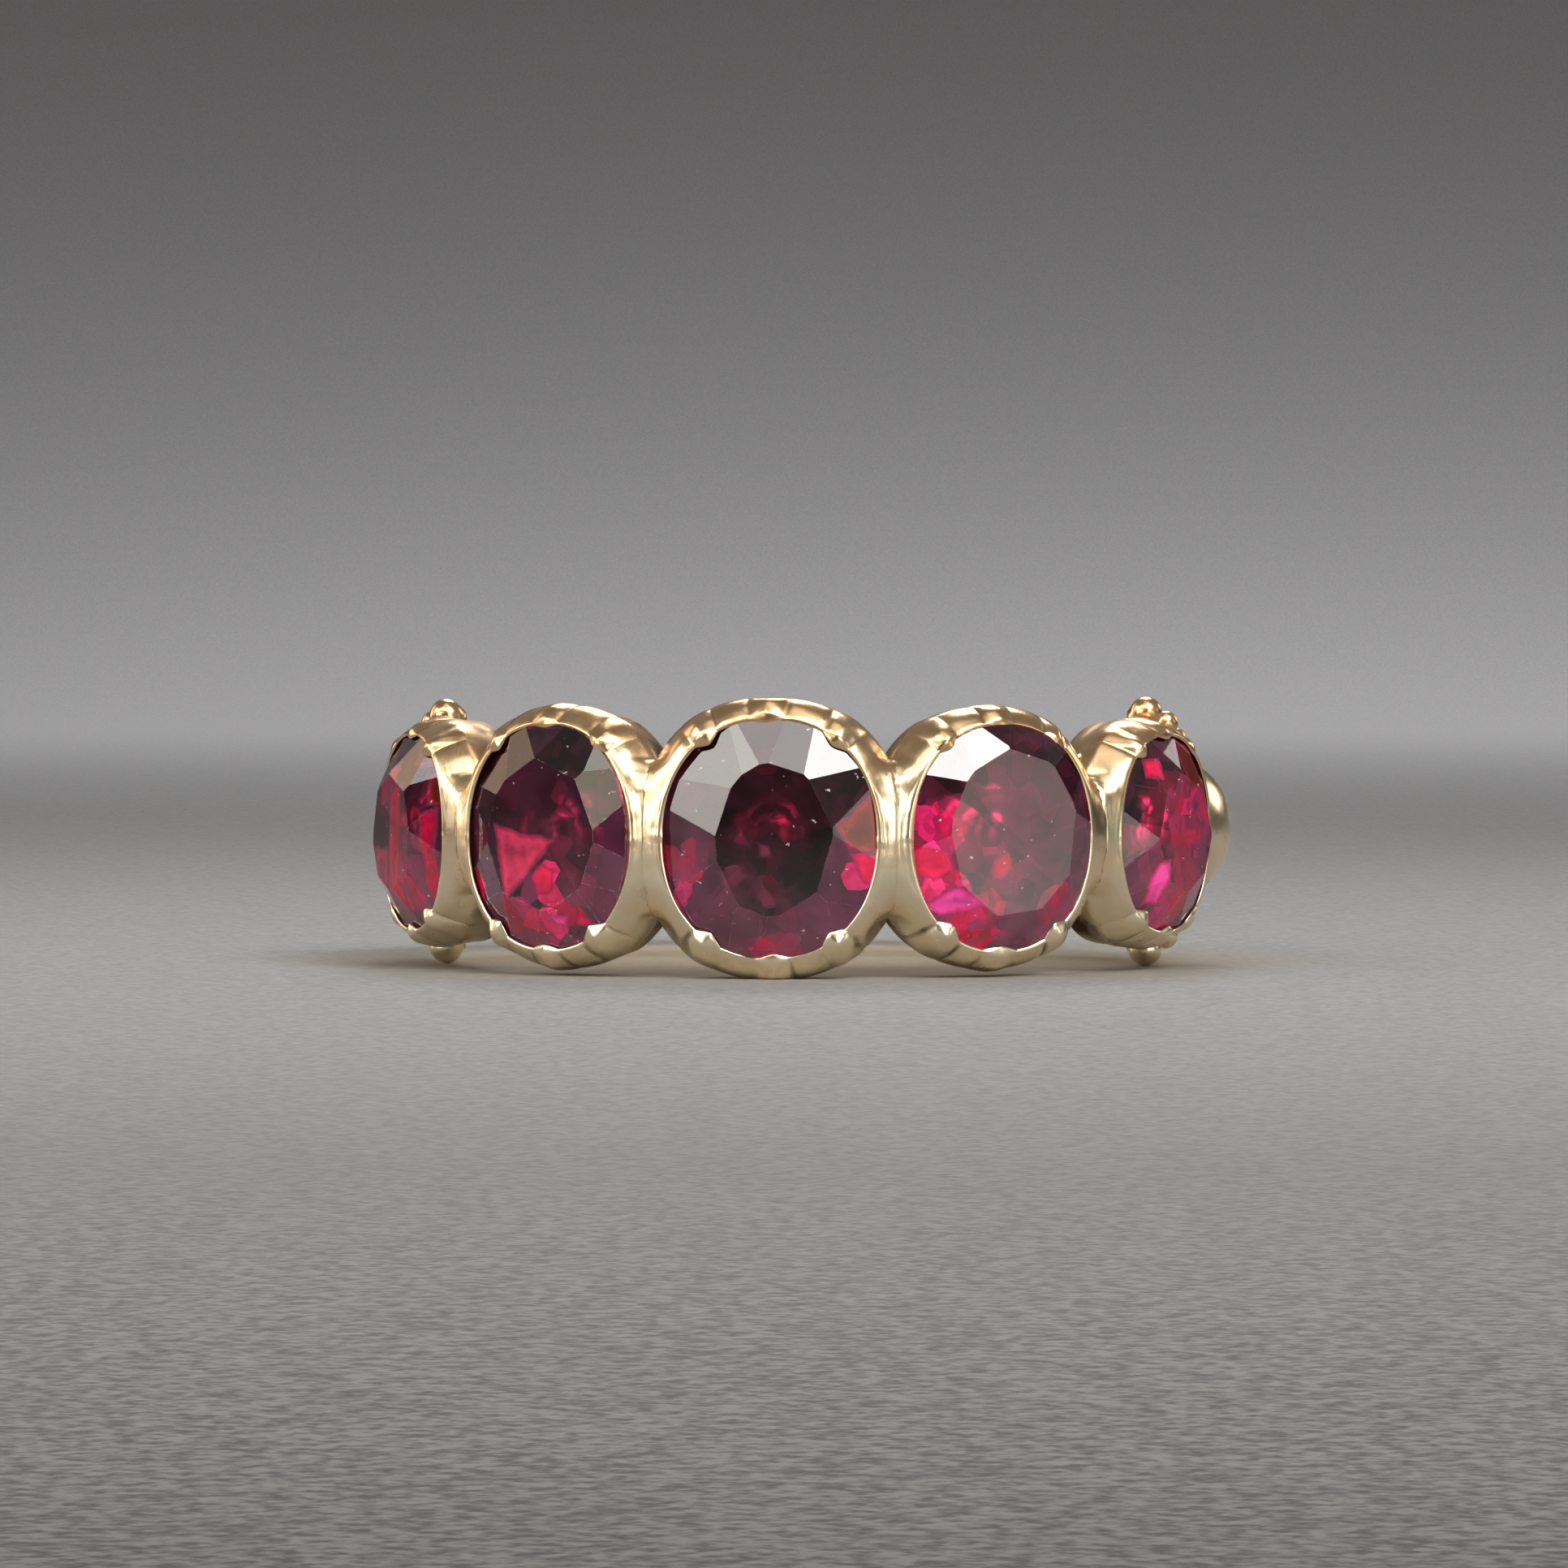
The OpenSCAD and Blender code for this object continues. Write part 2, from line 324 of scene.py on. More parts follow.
def closed_shell(grid: Array, marks: dict[str, Array] | None = None) -> Mesh:
    """Mesh over a grid that closes along its second axis, with a middle point at both ends.

    Args:
        grid: points, rows first.
        marks: numbers on the points of the grid, in its shape.

    Returns:
        A closed mesh whose faces point outwards.
    """
    rows, columns = grid.shape[:2]
    here = np.arange(rows * columns).reshape(rows, columns)
    beside = np.roll(here, -1, axis=1)
    quads = np.stack([here[:-1], beside[:-1], beside[1:], here[1:]], axis=-1).reshape(-1, 4)
    first, last = rows * columns, rows * columns + 1
    start = np.stack([np.full(columns, first), beside[0], here[0]], axis=-1)
    end = np.stack([np.full(columns, last), here[-1], beside[-1]], axis=-1)
    points = np.concatenate([grid.reshape(-1, 3), grid[0].mean(0)[None], grid[-1].mean(0)[None]])
    fans = np.concatenate([start, end])
    corner = points[fans]
    volume = np.einsum("ij,ij->", corner[:, 0], np.cross(corner[:, 1], corner[:, 2]))
    for second in (1, 2):
        corner = points[quads[:, [0, second, second + 1]]]
        volume += np.einsum("ij,ij->", corner[:, 0], np.cross(corner[:, 1], corner[:, 2]))
    faces = quads.tolist() + fans.tolist()
    if volume < 0:
        faces = [face[::-1] for face in faces]
    kept = {
        key: np.concatenate([values.reshape(-1), [values[0].mean(), values[-1].mean()]])
        for key, values in (marks or {}).items()
    }
    return Mesh(points, faces, kept)


# Finishes


@dataclass
class Nodes:
    """A short hand for a node tree: makes a node, sets its sockets and links it."""

    tree: bpy.types.NodeTree

    def add(self, kind: str, values: dict | None = None, **settings: object) -> bpy.types.Node:
        """Adds a node.

        Args:
            kind: Blender's name of the node.
            values: socket name or number to a value, or to a socket that feeds it.
            settings: the node's own settings.

        Returns:
            The node.
        """
        node = self.tree.nodes.new(kind)
        for key, value in settings.items():
            setattr(node, key, value)
        for key, value in (values or {}).items():
            if isinstance(value, bpy.types.NodeSocket):
                self.tree.links.new(value, node.inputs[key])
            else:
                node.inputs[key].default_value = value
        return node

    def feed(self, node: bpy.types.Node, name: str, value: bpy.types.NodeSocket) -> None:
        """Links a value to a named input of a node."""
        self.tree.links.new(value, node.inputs[name])

    def noise(self, place: bpy.types.NodeSocket, scale: float, detail: float) -> bpy.types.NodeSocket:
        """Noise from 0 to 1 with about `scale` lumps to the unit of the place."""
        values = {"Vector": place, "Scale": scale, "Detail": detail}
        return self.add("ShaderNodeTexNoise", values).outputs["Fac"]

    def ramp(self, value: bpy.types.NodeSocket, low: float, high: float) -> bpy.types.NodeSocket:
        """The value spread so that low becomes 0 and high becomes 1, and held there."""
        values = {"Value": value, "From Min": low, "From Max": high}
        return self.add("ShaderNodeMapRange", values, clamp=True).outputs["Result"]

    def maths(self, kind: str, first: object, second: object) -> bpy.types.NodeSocket:
        """One sum of two values."""
        return self.add("ShaderNodeMath", {0: first, 1: second}, operation=kind).outputs[0]

    def times(self, first: object, second: object) -> bpy.types.NodeSocket:
        """The product of two values."""
        return self.maths("MULTIPLY", first, second)

    def plus(self, first: object, second: object) -> bpy.types.NodeSocket:
        """Two values added."""
        return self.maths("ADD", first, second)

    def blend(self, part: object, first: object, second: object) -> bpy.types.NodeSocket:
        """A colour between two, by a part from 0 to 1."""
        return self.add("ShaderNodeMix", {0: part, 6: first, 7: second}, data_type="RGBA").outputs[2]

    def bump(self, shader: bpy.types.Node, height: object, strength: float, depth: float) -> None:
        """Gives a shader a relief.

        Args:
            shader: the shader.
            height: the relief's height from 0 to 1.
            strength: how strong it looks, from 0 to 1.
            depth: how deep it is in millimetres.
        """
        values = {"Height": height, "Strength": strength, "Distance": depth * MM}
        self.feed(shader, "Normal", self.add("ShaderNodeBump", values).outputs["Normal"])


def new_finish(name: str) -> tuple[bpy.types.Material, Nodes, bpy.types.Node, bpy.types.NodeSocket]:
    """An empty material with its shader and the place on the piece in millimetres.

    Args:
        name: name of the material.

    Returns:
        The material, its nodes, its shader and the socket of the place.
    """
    material = bpy.data.materials.new(name)
    material.use_nodes = True
    nodes = Nodes(material.node_tree)
    shader = next(n for n in material.node_tree.nodes if n.type == "BSDF_PRINCIPLED")
    place = nodes.add("ShaderNodeTexCoord").outputs["Object"]
    scaled = nodes.add("ShaderNodeMapping", {"Vector": place, "Scale": (1 / MM,) * 3})
    return material, nodes, shader, scaled.outputs["Vector"]


@dataclass(frozen=True)
class Mottle:
    """Soft noise: its lumps to the millimetre, its detail, and the values that become 0 and 1."""

    scale: float
    detail: float
    low: float
    high: float

    def on(self, nodes: Nodes, place: bpy.types.NodeSocket) -> bpy.types.NodeSocket:
        """The pattern at each place, from 0 to 1."""
        return nodes.ramp(nodes.noise(place, self.scale, self.detail), self.low, self.high)


@dataclass(frozen=True)
class OldGold:
    """Hand burnished yellow gold, with brown tarnish and painted shade in its hollows, and rosier higher up
    as a painted reflection.
    """

    name: str = "old_gold"
    clean: tuple = (0.97, 0.83, 0.59, 1)
    rosy: tuple = (0.80, 0.50, 0.25, 1)
    # Brown of the tarnish and of the painted shade in hollows and joints
    tarnish_and_shade: tuple = (0.075, 0.042, 0.022, 1)
    # How rosy it is: a part for each millimetre of height, a painted warmer reflection high up and a paler
    # one low down, and a part for the clouds, and where it shows
    painted_rosy_rise: float = 0.2
    rosy_cloud: float = 1.2
    rosy_range: tuple = (0.3, 1.2)
    cloud_scale: float = 0.9
    # Tarnish outside the seams, how much of it there is, and where it and the painted shade show
    blotch: Mottle = Mottle(1.3, 4, 0.56, 0.74)
    blotch_part: float = 0.3
    dirt_and_shade_range: tuple = (0.2, 0.85)
    # Roughness where it is polished, and what wear and tarnish add to it
    polish: float = 0.19
    wear: Mottle = Mottle(2.2, 2, 0.3, 0.75)
    wear_rough: float = 0.1
    tarnish_rough: float = 0.3
    # Hairlines: how their pattern is stretched and turned, and their part of the relief
    hair_scale: tuple = (9, 1.2, 3)
    hair_turn: tuple = (0.6, 0.3, 0.9)
    hair_part: float = 0.1
    dent_scale: float = 1.3
    # Strength and depth of the relief
    relief: tuple = (0.4, 0.05)

    def made(self) -> bpy.types.Material:
        """Makes the material: paler gold below and rosier above as a painted reflection, tarnish with
        painted shade, wear and small dents.

        Returns:
            The material.
        """
        material, nodes, shader, place = new_finish(self.name)
        kept = nodes.add("ShaderNodeAttribute", attribute_name="tarnish_and_shade").outputs["Fac"]
        blotch = nodes.times(self.blotch.on(nodes, place), self.blotch_part)
        # Tarnish with painted shade: the darkening kept on the points, with blotches
        dirt_and_shade = nodes.ramp(nodes.plus(kept, blotch), *self.dirt_and_shade_range)
        up = nodes.add("ShaderNodeSeparateXYZ", {0: place}).outputs["Z"]
        cloud = nodes.times(nodes.noise(place, self.cloud_scale, 3), self.rosy_cloud)
        # Painted reflection: the higher the gold lies, the rosier it is
        rosy = nodes.plus(nodes.times(up, self.painted_rosy_rise), cloud)
        metal = nodes.blend(nodes.ramp(rosy, *self.rosy_range), self.clean, self.rosy)
        nodes.feed(shader, "Base Color", nodes.blend(dirt_and_shade, metal, self.tarnish_and_shade))
        wear = nodes.times(self.wear.on(nodes, place), self.wear_rough)
        rough = nodes.plus(nodes.plus(wear, self.polish), nodes.times(dirt_and_shade, self.tarnish_rough))
        nodes.feed(shader, "Roughness", rough)
        shader.inputs["Metallic"].default_value = 1.0
        values = {"Vector": place, "Scale": self.hair_scale, "Rotation": self.hair_turn}
        stretched = nodes.add("ShaderNodeMapping", values).outputs["Vector"]
        hair = nodes.times(nodes.noise(stretched, self.dent_scale, 2), self.hair_part)
        nodes.bump(shader, nodes.plus(hair, nodes.noise(place, self.dent_scale, 2)), *self.relief)
        return material


@dataclass(frozen=True)
class Garnet:
    """Deep red garnet: clear, darker the further light goes through it, hazy on its worn facets and with a
    painted reflection of the floor on those that look down.

    The light that comes back from the foil is painted into the stone's colour. A painted glow is a place
    in the stone where that light shows, its size and its strength. A painted shard is a painted
    reflection of one inner face that comes back whole: the planes of its edges, its strength and its
    colour.
    """

    name: str
    painted_glows: tuple = ()
    painted_shards: tuple = ()
    chips: float = 0.0
    clear: tuple = (0.94, 0.16, 0.44, 1)
    haze_and_painted_veil: tuple = (0.45, 0.21, 0.30, 1)
    film: tuple = (0.26, 0.26, 0.25, 1)
    dust: tuple = (0.62, 0.55, 0.55, 1)
    # Colours of the painted glows
    red: tuple = (0.93, 0.003, 0.065, 1)
    pink: tuple = (1.0, 0.035, 0.24, 1)
    depth: tuple = (0.87, 0.05, 0.42, 1)
    density: float = 480.0
    bending: float = 1.77
    # How much light haze and dust keep from going through, and the most that anything keeps
    haze_cover: float = 0.36
    dust_cover: float = 0.6
    most_cover: float = 0.95
    # Roughness of the clean stone, and what dust and haze add to it
    polish: float = 0.01
    dust_rough: float = 0.3
    haze_rough: float = 0.06
    # Patterns of the haze, with its mottled part, of its grey film and of the dust
    mottle: Mottle = Mottle(1.1, 5, 0.3, 0.72)
    mottled: float = 0.75
    greyed: Mottle = Mottle(0.7, 4, 0.5, 0.62)
    specks: Mottle = Mottle(5.5, 3, 0.70, 0.74)
    # Cells of the painted glows to the millimetre, large and small, with their parts of the brightness
    # and the part that every cell has
    large_cells: float = 1.7
    small_cells: float = 4.5
    large_part: float = 0.6
    small_part: float = 0.5
    even_part: float = 0.1
    # How far places are warped, and by how many lumps to the millimetre
    warp: float = 0.28
    warp_scale: float = 1.6
    # Where a painted glow begins and where it is full, as parts of its size, and the faint painted glow
    # elsewhere
    glow_edge: float = 1.15
    glow_full: float = 0.6
    ember: float = 0.03
    # The painted glow at which its colour is full
    full_hue: float = 0.25
    # A painted shard's soft edge, its painted bright rim and its mottle, with their parts of its brightness
    shard_edge: tuple = (-0.05, 0.13)
    shard_rim: tuple = (0.3, 0.02)
    rim_part: float = 0.35
    shard_mottle: Mottle = Mottle(2.2, 5, 0.35, 0.65)
    mottle_part: float = 0.4
    plain_part: float = 0.35

    def warped(self, nodes: Nodes, place: bpy.types.NodeSocket) -> bpy.types.NodeSocket:
        """Shifts each place a little by soft noise.

        Args:
            nodes: nodes of the material.
            place: place on the piece in millimetres.

        Returns:
            The shifted place.
        """
        values = {"Vector": place, "Scale": self.warp_scale, "Detail": 3}
        noise = nodes.add("ShaderNodeTexNoise", values).outputs["Color"]
        values = {0: noise, 1: (0.5, 0.5, 0.5)}
        shift = nodes.add("ShaderNodeVectorMath", values, operation="SUBTRACT").outputs[0]
        values = {0: shift, 1: (self.warp,) * 3, 2: place}
        return nodes.add("ShaderNodeVectorMath", values, operation="MULTIPLY_ADD").outputs[0]

    def soft_glow(self, nodes: Nodes, place: bpy.types.NodeSocket) -> tuple[bpy.types.NodeSocket, ...]:
        """The strongest painted glow at each place, broken up in cells as the facets behind it do.

        Args:
            nodes: nodes of the material.
            place: warped place on the piece.

        Returns:
            The glow from 0 to 1, and its colour.
        """
        cell = nodes.add("ShaderNodeTexVoronoi", {"Vector": place, "Scale": self.large_cells}).outputs
        lots = nodes.add("ShaderNodeSeparateColor", {0: cell["Color"]}).outputs
        small = nodes.add("ShaderNodeTexVoronoi", {"Vector": place, "Scale": self.small_cells})
        small = nodes.add("ShaderNodeSeparateColor", {0: small.outputs["Color"]}).outputs[0]
        total = nodes.times(lots[2], self.ember)
        for middle, size, strength in self.painted_glows:
            ends = {0: cell["Position"], 1: middle}
            away = nodes.add("ShaderNodeVectorMath", ends, operation="DISTANCE").outputs["Value"]
            spot = nodes.ramp(away, self.glow_edge * size, self.glow_full * size)
            total = nodes.maths("MAXIMUM", total, nodes.times(spot, strength))
        part = nodes.plus(nodes.times(lots[0], self.large_part), nodes.times(small, self.small_part))
        total = nodes.times(total, nodes.plus(part, self.even_part))
        return total, nodes.blend(lots[1], self.red, self.pink)

    def inside_shard(self, nodes: Nodes, place: bpy.types.NodeSocket, edges: tuple) -> bpy.types.NodeSocket:
        """How far each place lies inside a painted shard, past the nearest of its edges' planes.

        Args:
            nodes: nodes of the material.
            place: warped place on the piece.
            edges: normals that look in, and distances.

        Returns:
            The distance, less than 0 outside.
        """
        inside = None
        for normal, distance in edges:
            along = nodes.add("ShaderNodeVectorMath", {0: place, 1: normal}, operation="DOT_PRODUCT")
            over = nodes.maths("SUBTRACT", along.outputs["Value"], distance)
            inside = over if inside is None else nodes.maths("MINIMUM", inside, over)
        return inside

    def painted_glow(self, nodes: Nodes, place: bpy.types.NodeSocket) -> tuple[bpy.types.NodeSocket, ...]:
        """The light that comes back from inside, painted into the colour: the soft glows, and the shards
        over them.

        A shard has a painted bright rim and a mottled middle, and it hides the glow behind it.

        Args:
            nodes: nodes of the material.
            place: place on the piece in millimetres.

        Returns:
            The glow from 0 to 1, and its colour.
        """
        place = self.warped(nodes, place)
        total, colour = self.soft_glow(nodes, place)
        mottle = nodes.times(self.shard_mottle.on(nodes, place), self.mottle_part)
        for edges, strength, hue in self.painted_shards:
            inside = self.inside_shard(nodes, place, edges)
            within = nodes.ramp(inside, *self.shard_edge)
            rim = nodes.times(nodes.ramp(inside, *self.shard_rim), self.rim_part)
            lit = nodes.plus(mottle, nodes.plus(rim, self.plain_part))
            lit = nodes.times(nodes.times(lit, strength), within)
            behind = nodes.times(total, nodes.maths("SUBTRACT", 1.0, within))
            total = nodes.maths("MAXIMUM", behind, lit)
            colour = nodes.blend(within, colour, hue)
        return total, colour

    def made(self) -> bpy.types.Material:
        """Makes the material: glass with absorption inside, painted glows, a mottled haze that partly
        paints the floor's reflection, and dust.

        Returns:
            The material.
        """
        material, nodes, shader, place = new_finish(self.name)
        kept = nodes.add("ShaderNodeAttribute", attribute_name="haze_and_painted_veil").outputs["Fac"]
        mottle = nodes.plus(nodes.times(self.mottle.on(nodes, place), self.mottled), 1 - self.mottled)
        # Haze, partly a painted reflection of the floor on the facets that look down
        haze_and_painted_veil = nodes.times(kept, mottle)
        low, high = self.specks.low - self.chips, self.specks.high - self.chips
        specks = replace(self.specks, low=low, high=high).on(nodes, place)
        # Painted light: glows and shards of light from inside, painted into colour and transmission
        painted_glow, painted_glow_colour = self.painted_glow(nodes, place)
        film = nodes.blend(self.greyed.on(nodes, place), self.haze_and_painted_veil, self.film)
        colour = nodes.blend(haze_and_painted_veil, self.clear, film)
        colour = nodes.blend(nodes.ramp(painted_glow, 0.0, self.full_hue), colour, painted_glow_colour)
        nodes.feed(shader, "Base Color", nodes.blend(specks, colour, self.dust))
        cover = nodes.plus(nodes.times(haze_and_painted_veil, self.haze_cover), nodes.times(specks, self.dust_cover))
        cover = nodes.maths("MINIMUM", nodes.plus(cover, painted_glow), self.most_cover)
        nodes.feed(shader, "Transmission Weight", nodes.maths("SUBTRACT", 1.0, cover))
        shader.inputs["IOR"].default_value = self.bending
        rough = nodes.plus(nodes.times(specks, self.dust_rough), self.polish)
        nodes.feed(shader, "Roughness", nodes.plus(rough, nodes.times(haze_and_painted_veil, self.haze_rough)))
        values = {"Color": self.depth, "Density": self.density}
        inside = nodes.add("ShaderNodeVolumeAbsorption", values).outputs["Volume"]
        out = next(n for n in material.node_tree.nodes if n.type == "OUTPUT_MATERIAL")
        nodes.feed(out, "Volume", inside)
        return material


@dataclass(frozen=True)
class RedFoil:
    """Thin tinted foil, crinkled, bright in places and blackened in others."""

    name: str = "red_foil"
    bright: tuple = (1.0, 0.28, 0.55, 1)
    dull: tuple = (0.040, 0.010, 0.020, 1)
    stain: tuple = (0.030, 0.045, 0.038, 1)
    # Cells to the millimetre, how much they differ, and the shine that shows as bright
    cells: float = 1.8
    cell_part: float = 0.7
    shine_range: tuple = (0.15, 1.1)
    spots: Mottle = Mottle(1.1, 3, 0.62, 0.68)
    spots_part: float = 0.8
    metallic: float = 0.6
    polish: float = 0.18
    crinkle_scale: float = 2.0
    # Strength and depth of the crinkles
    relief: tuple = (0.12, 0.05)

    def made(self) -> bpy.types.Material:
        """Makes the material: tint by the shine kept on the points, with stains and crinkles.

        Returns:
            The material.
        """
        material, nodes, shader, place = new_finish(self.name)
        kept = nodes.add("ShaderNodeAttribute", attribute_name="shine").outputs["Fac"]
        cells = nodes.add("ShaderNodeTexVoronoi", {"Vector": place, "Scale": self.cells})
        lot = nodes.add("ShaderNodeSeparateColor", {0: cells.outputs["Color"]}).outputs[0]
        shine = nodes.plus(kept, nodes.times(nodes.maths("SUBTRACT", lot, 0.5), self.cell_part))
        colour = nodes.blend(nodes.ramp(shine, *self.shine_range), self.dull, self.bright)
        spots = nodes.times(self.spots.on(nodes, place), self.spots_part)
        nodes.feed(shader, "Base Color", nodes.blend(spots, colour, self.stain))
        shader.inputs["Metallic"].default_value = self.metallic
        shader.inputs["Roughness"].default_value = self.polish
        nodes.bump(shader, nodes.noise(place, self.crinkle_scale, 3), *self.relief)
        return material


@dataclass(frozen=True)
class PaleFloor:
    """Plain pale grey floor with a felted grain, a painted pool of the gold's warm light near the ring, and
    painted light far in front.
    """

    name: str = "pale_floor"
    shade: tuple = (0.243, 0.238, 0.238, 1)
    # Paler grey far in front of the ring: painted light
    front: tuple = (0.40, 0.388, 0.380, 1)
    fleck: tuple = (0.172, 0.170, 0.174, 1)
    grain: Mottle = Mottle(4.5, 6, 0.38, 0.64)
    rough: float = 0.9
    # Strength and depth of the grain's relief
    relief: tuple = (0.3, 0.04)
    painted_warm_light: tuple = (0.225, 0.176, 0.110, 1)
    # Distance from the ring's middle where the painted warm light starts and where it is full
    warm_from: float = 14.5
    warm_to: float = 8.5
    painted_warm_part: float = 0.8
    # Distance in front of the ring's middle where the floor starts to pale with painted light and where it
    # ends
    front_from: float = 75.0
    front_to: float = 118.0

    def made(self) -> bpy.types.Material:
        """Makes the material: two near greys mixed by fine noise, warmer close to the ring with painted
        light.

        Far in front of the ring the paler grey is paler still, as painted light.

        Returns:
            The material.
        """
        material, nodes, shader, place = new_finish(self.name)
        grain = self.grain.on(nodes, place)
        ahead = nodes.times(nodes.add("ShaderNodeSeparateXYZ", {0: place}).outputs["Y"], -1.0)
        # Painted light: the floor paler far in front of the ring
        grey_with_painted_front_light = nodes.blend(nodes.ramp(ahead, self.front_from, self.front_to), self.shade, self.front)
        colour = nodes.blend(grain, grey_with_painted_front_light, self.fleck)
        away = nodes.add("ShaderNodeVectorMath", {0: place}, operation="LENGTH").outputs["Value"]
        # Painted light: a warm pool of the gold's reflected light on the floor near the ring
        painted_warm_pool = nodes.times(nodes.ramp(away, self.warm_from, self.warm_to), self.painted_warm_part)
        nodes.feed(shader, "Base Color", nodes.blend(painted_warm_pool, colour, self.painted_warm_light))
        shader.inputs["Roughness"].default_value = self.rough
        nodes.bump(shader, grain, *self.relief)
        return material


# The row of stones

OVAL_POWER = 2.2
HALF_GIRDLE = 0.06
CROWN_H = 0.72
PAVILION_H = 1.12
WAIST_PART = 0.55
WAIST_SAG = 0.1
CUP_SAG = 0.25
CUP_FLOOR_PART = 0.08


def pavilion_z(part: float | Array) -> float | Array:
    """Height of a plain cone from the girdle to the culet, at a part of the stone's radius."""
    return -HALF_GIRDLE - PAVILION_H * (1 - part)


@dataclass(frozen=True)
class Seat:
    """Where a stone sits: its angle round the finger, and half its width and height."""

    key: str
    angle: float
    half_w: float
    half_h: float

    @property
    def axes(self) -> Array:
        """The seat's own directions.

        Returns:
            Rows: along the row of stones, across it, and away from the finger.
        """
        turn = math.radians(self.angle)
        along = [math.cos(turn), math.sin(turn), 0]
        outwards = [math.sin(turn), -math.cos(turn), 0]
        return np.array([along, [0, 0, 1], outwards])

    def to_world(self, local: Array) -> Array:
        """Points on the seat, as points of the whole ring."""
        return (local + np.array([0, 0, GIRDLE_R])) @ self.axes

    def to_seat(self, world: Array) -> Array:
        """Points of the whole ring, as points on the seat."""
        return world @ self.axes.T - np.array([0, 0, GIRDLE_R])

    def oval(self, angle: Array) -> Array:
        """Radius of the stone's outline, between an ellipse and a rectangle.

        One over the radius is |cos| over the half width and |sin| over the half height, each
        to the outline's power, added, and the root of that power taken.

        Args:
            angle: angles round the stone, in radians.

        Returns:
            The radius at each angle.
        """
        across = np.abs(np.cos(angle) / self.half_w) ** OVAL_POWER
        up = np.abs(np.sin(angle) / self.half_h) ** OVAL_POWER
        return (across + up) ** (-1 / OVAL_POWER)

    def bore_z(self, x: Array, rise: float | Array = 0.0) -> Array:
        """Height on the seat of the finger hole's wall, where the seat's first coordinate is x."""
        return np.sqrt((BORE_R + rise) ** 2 - x**2) - GIRDLE_R


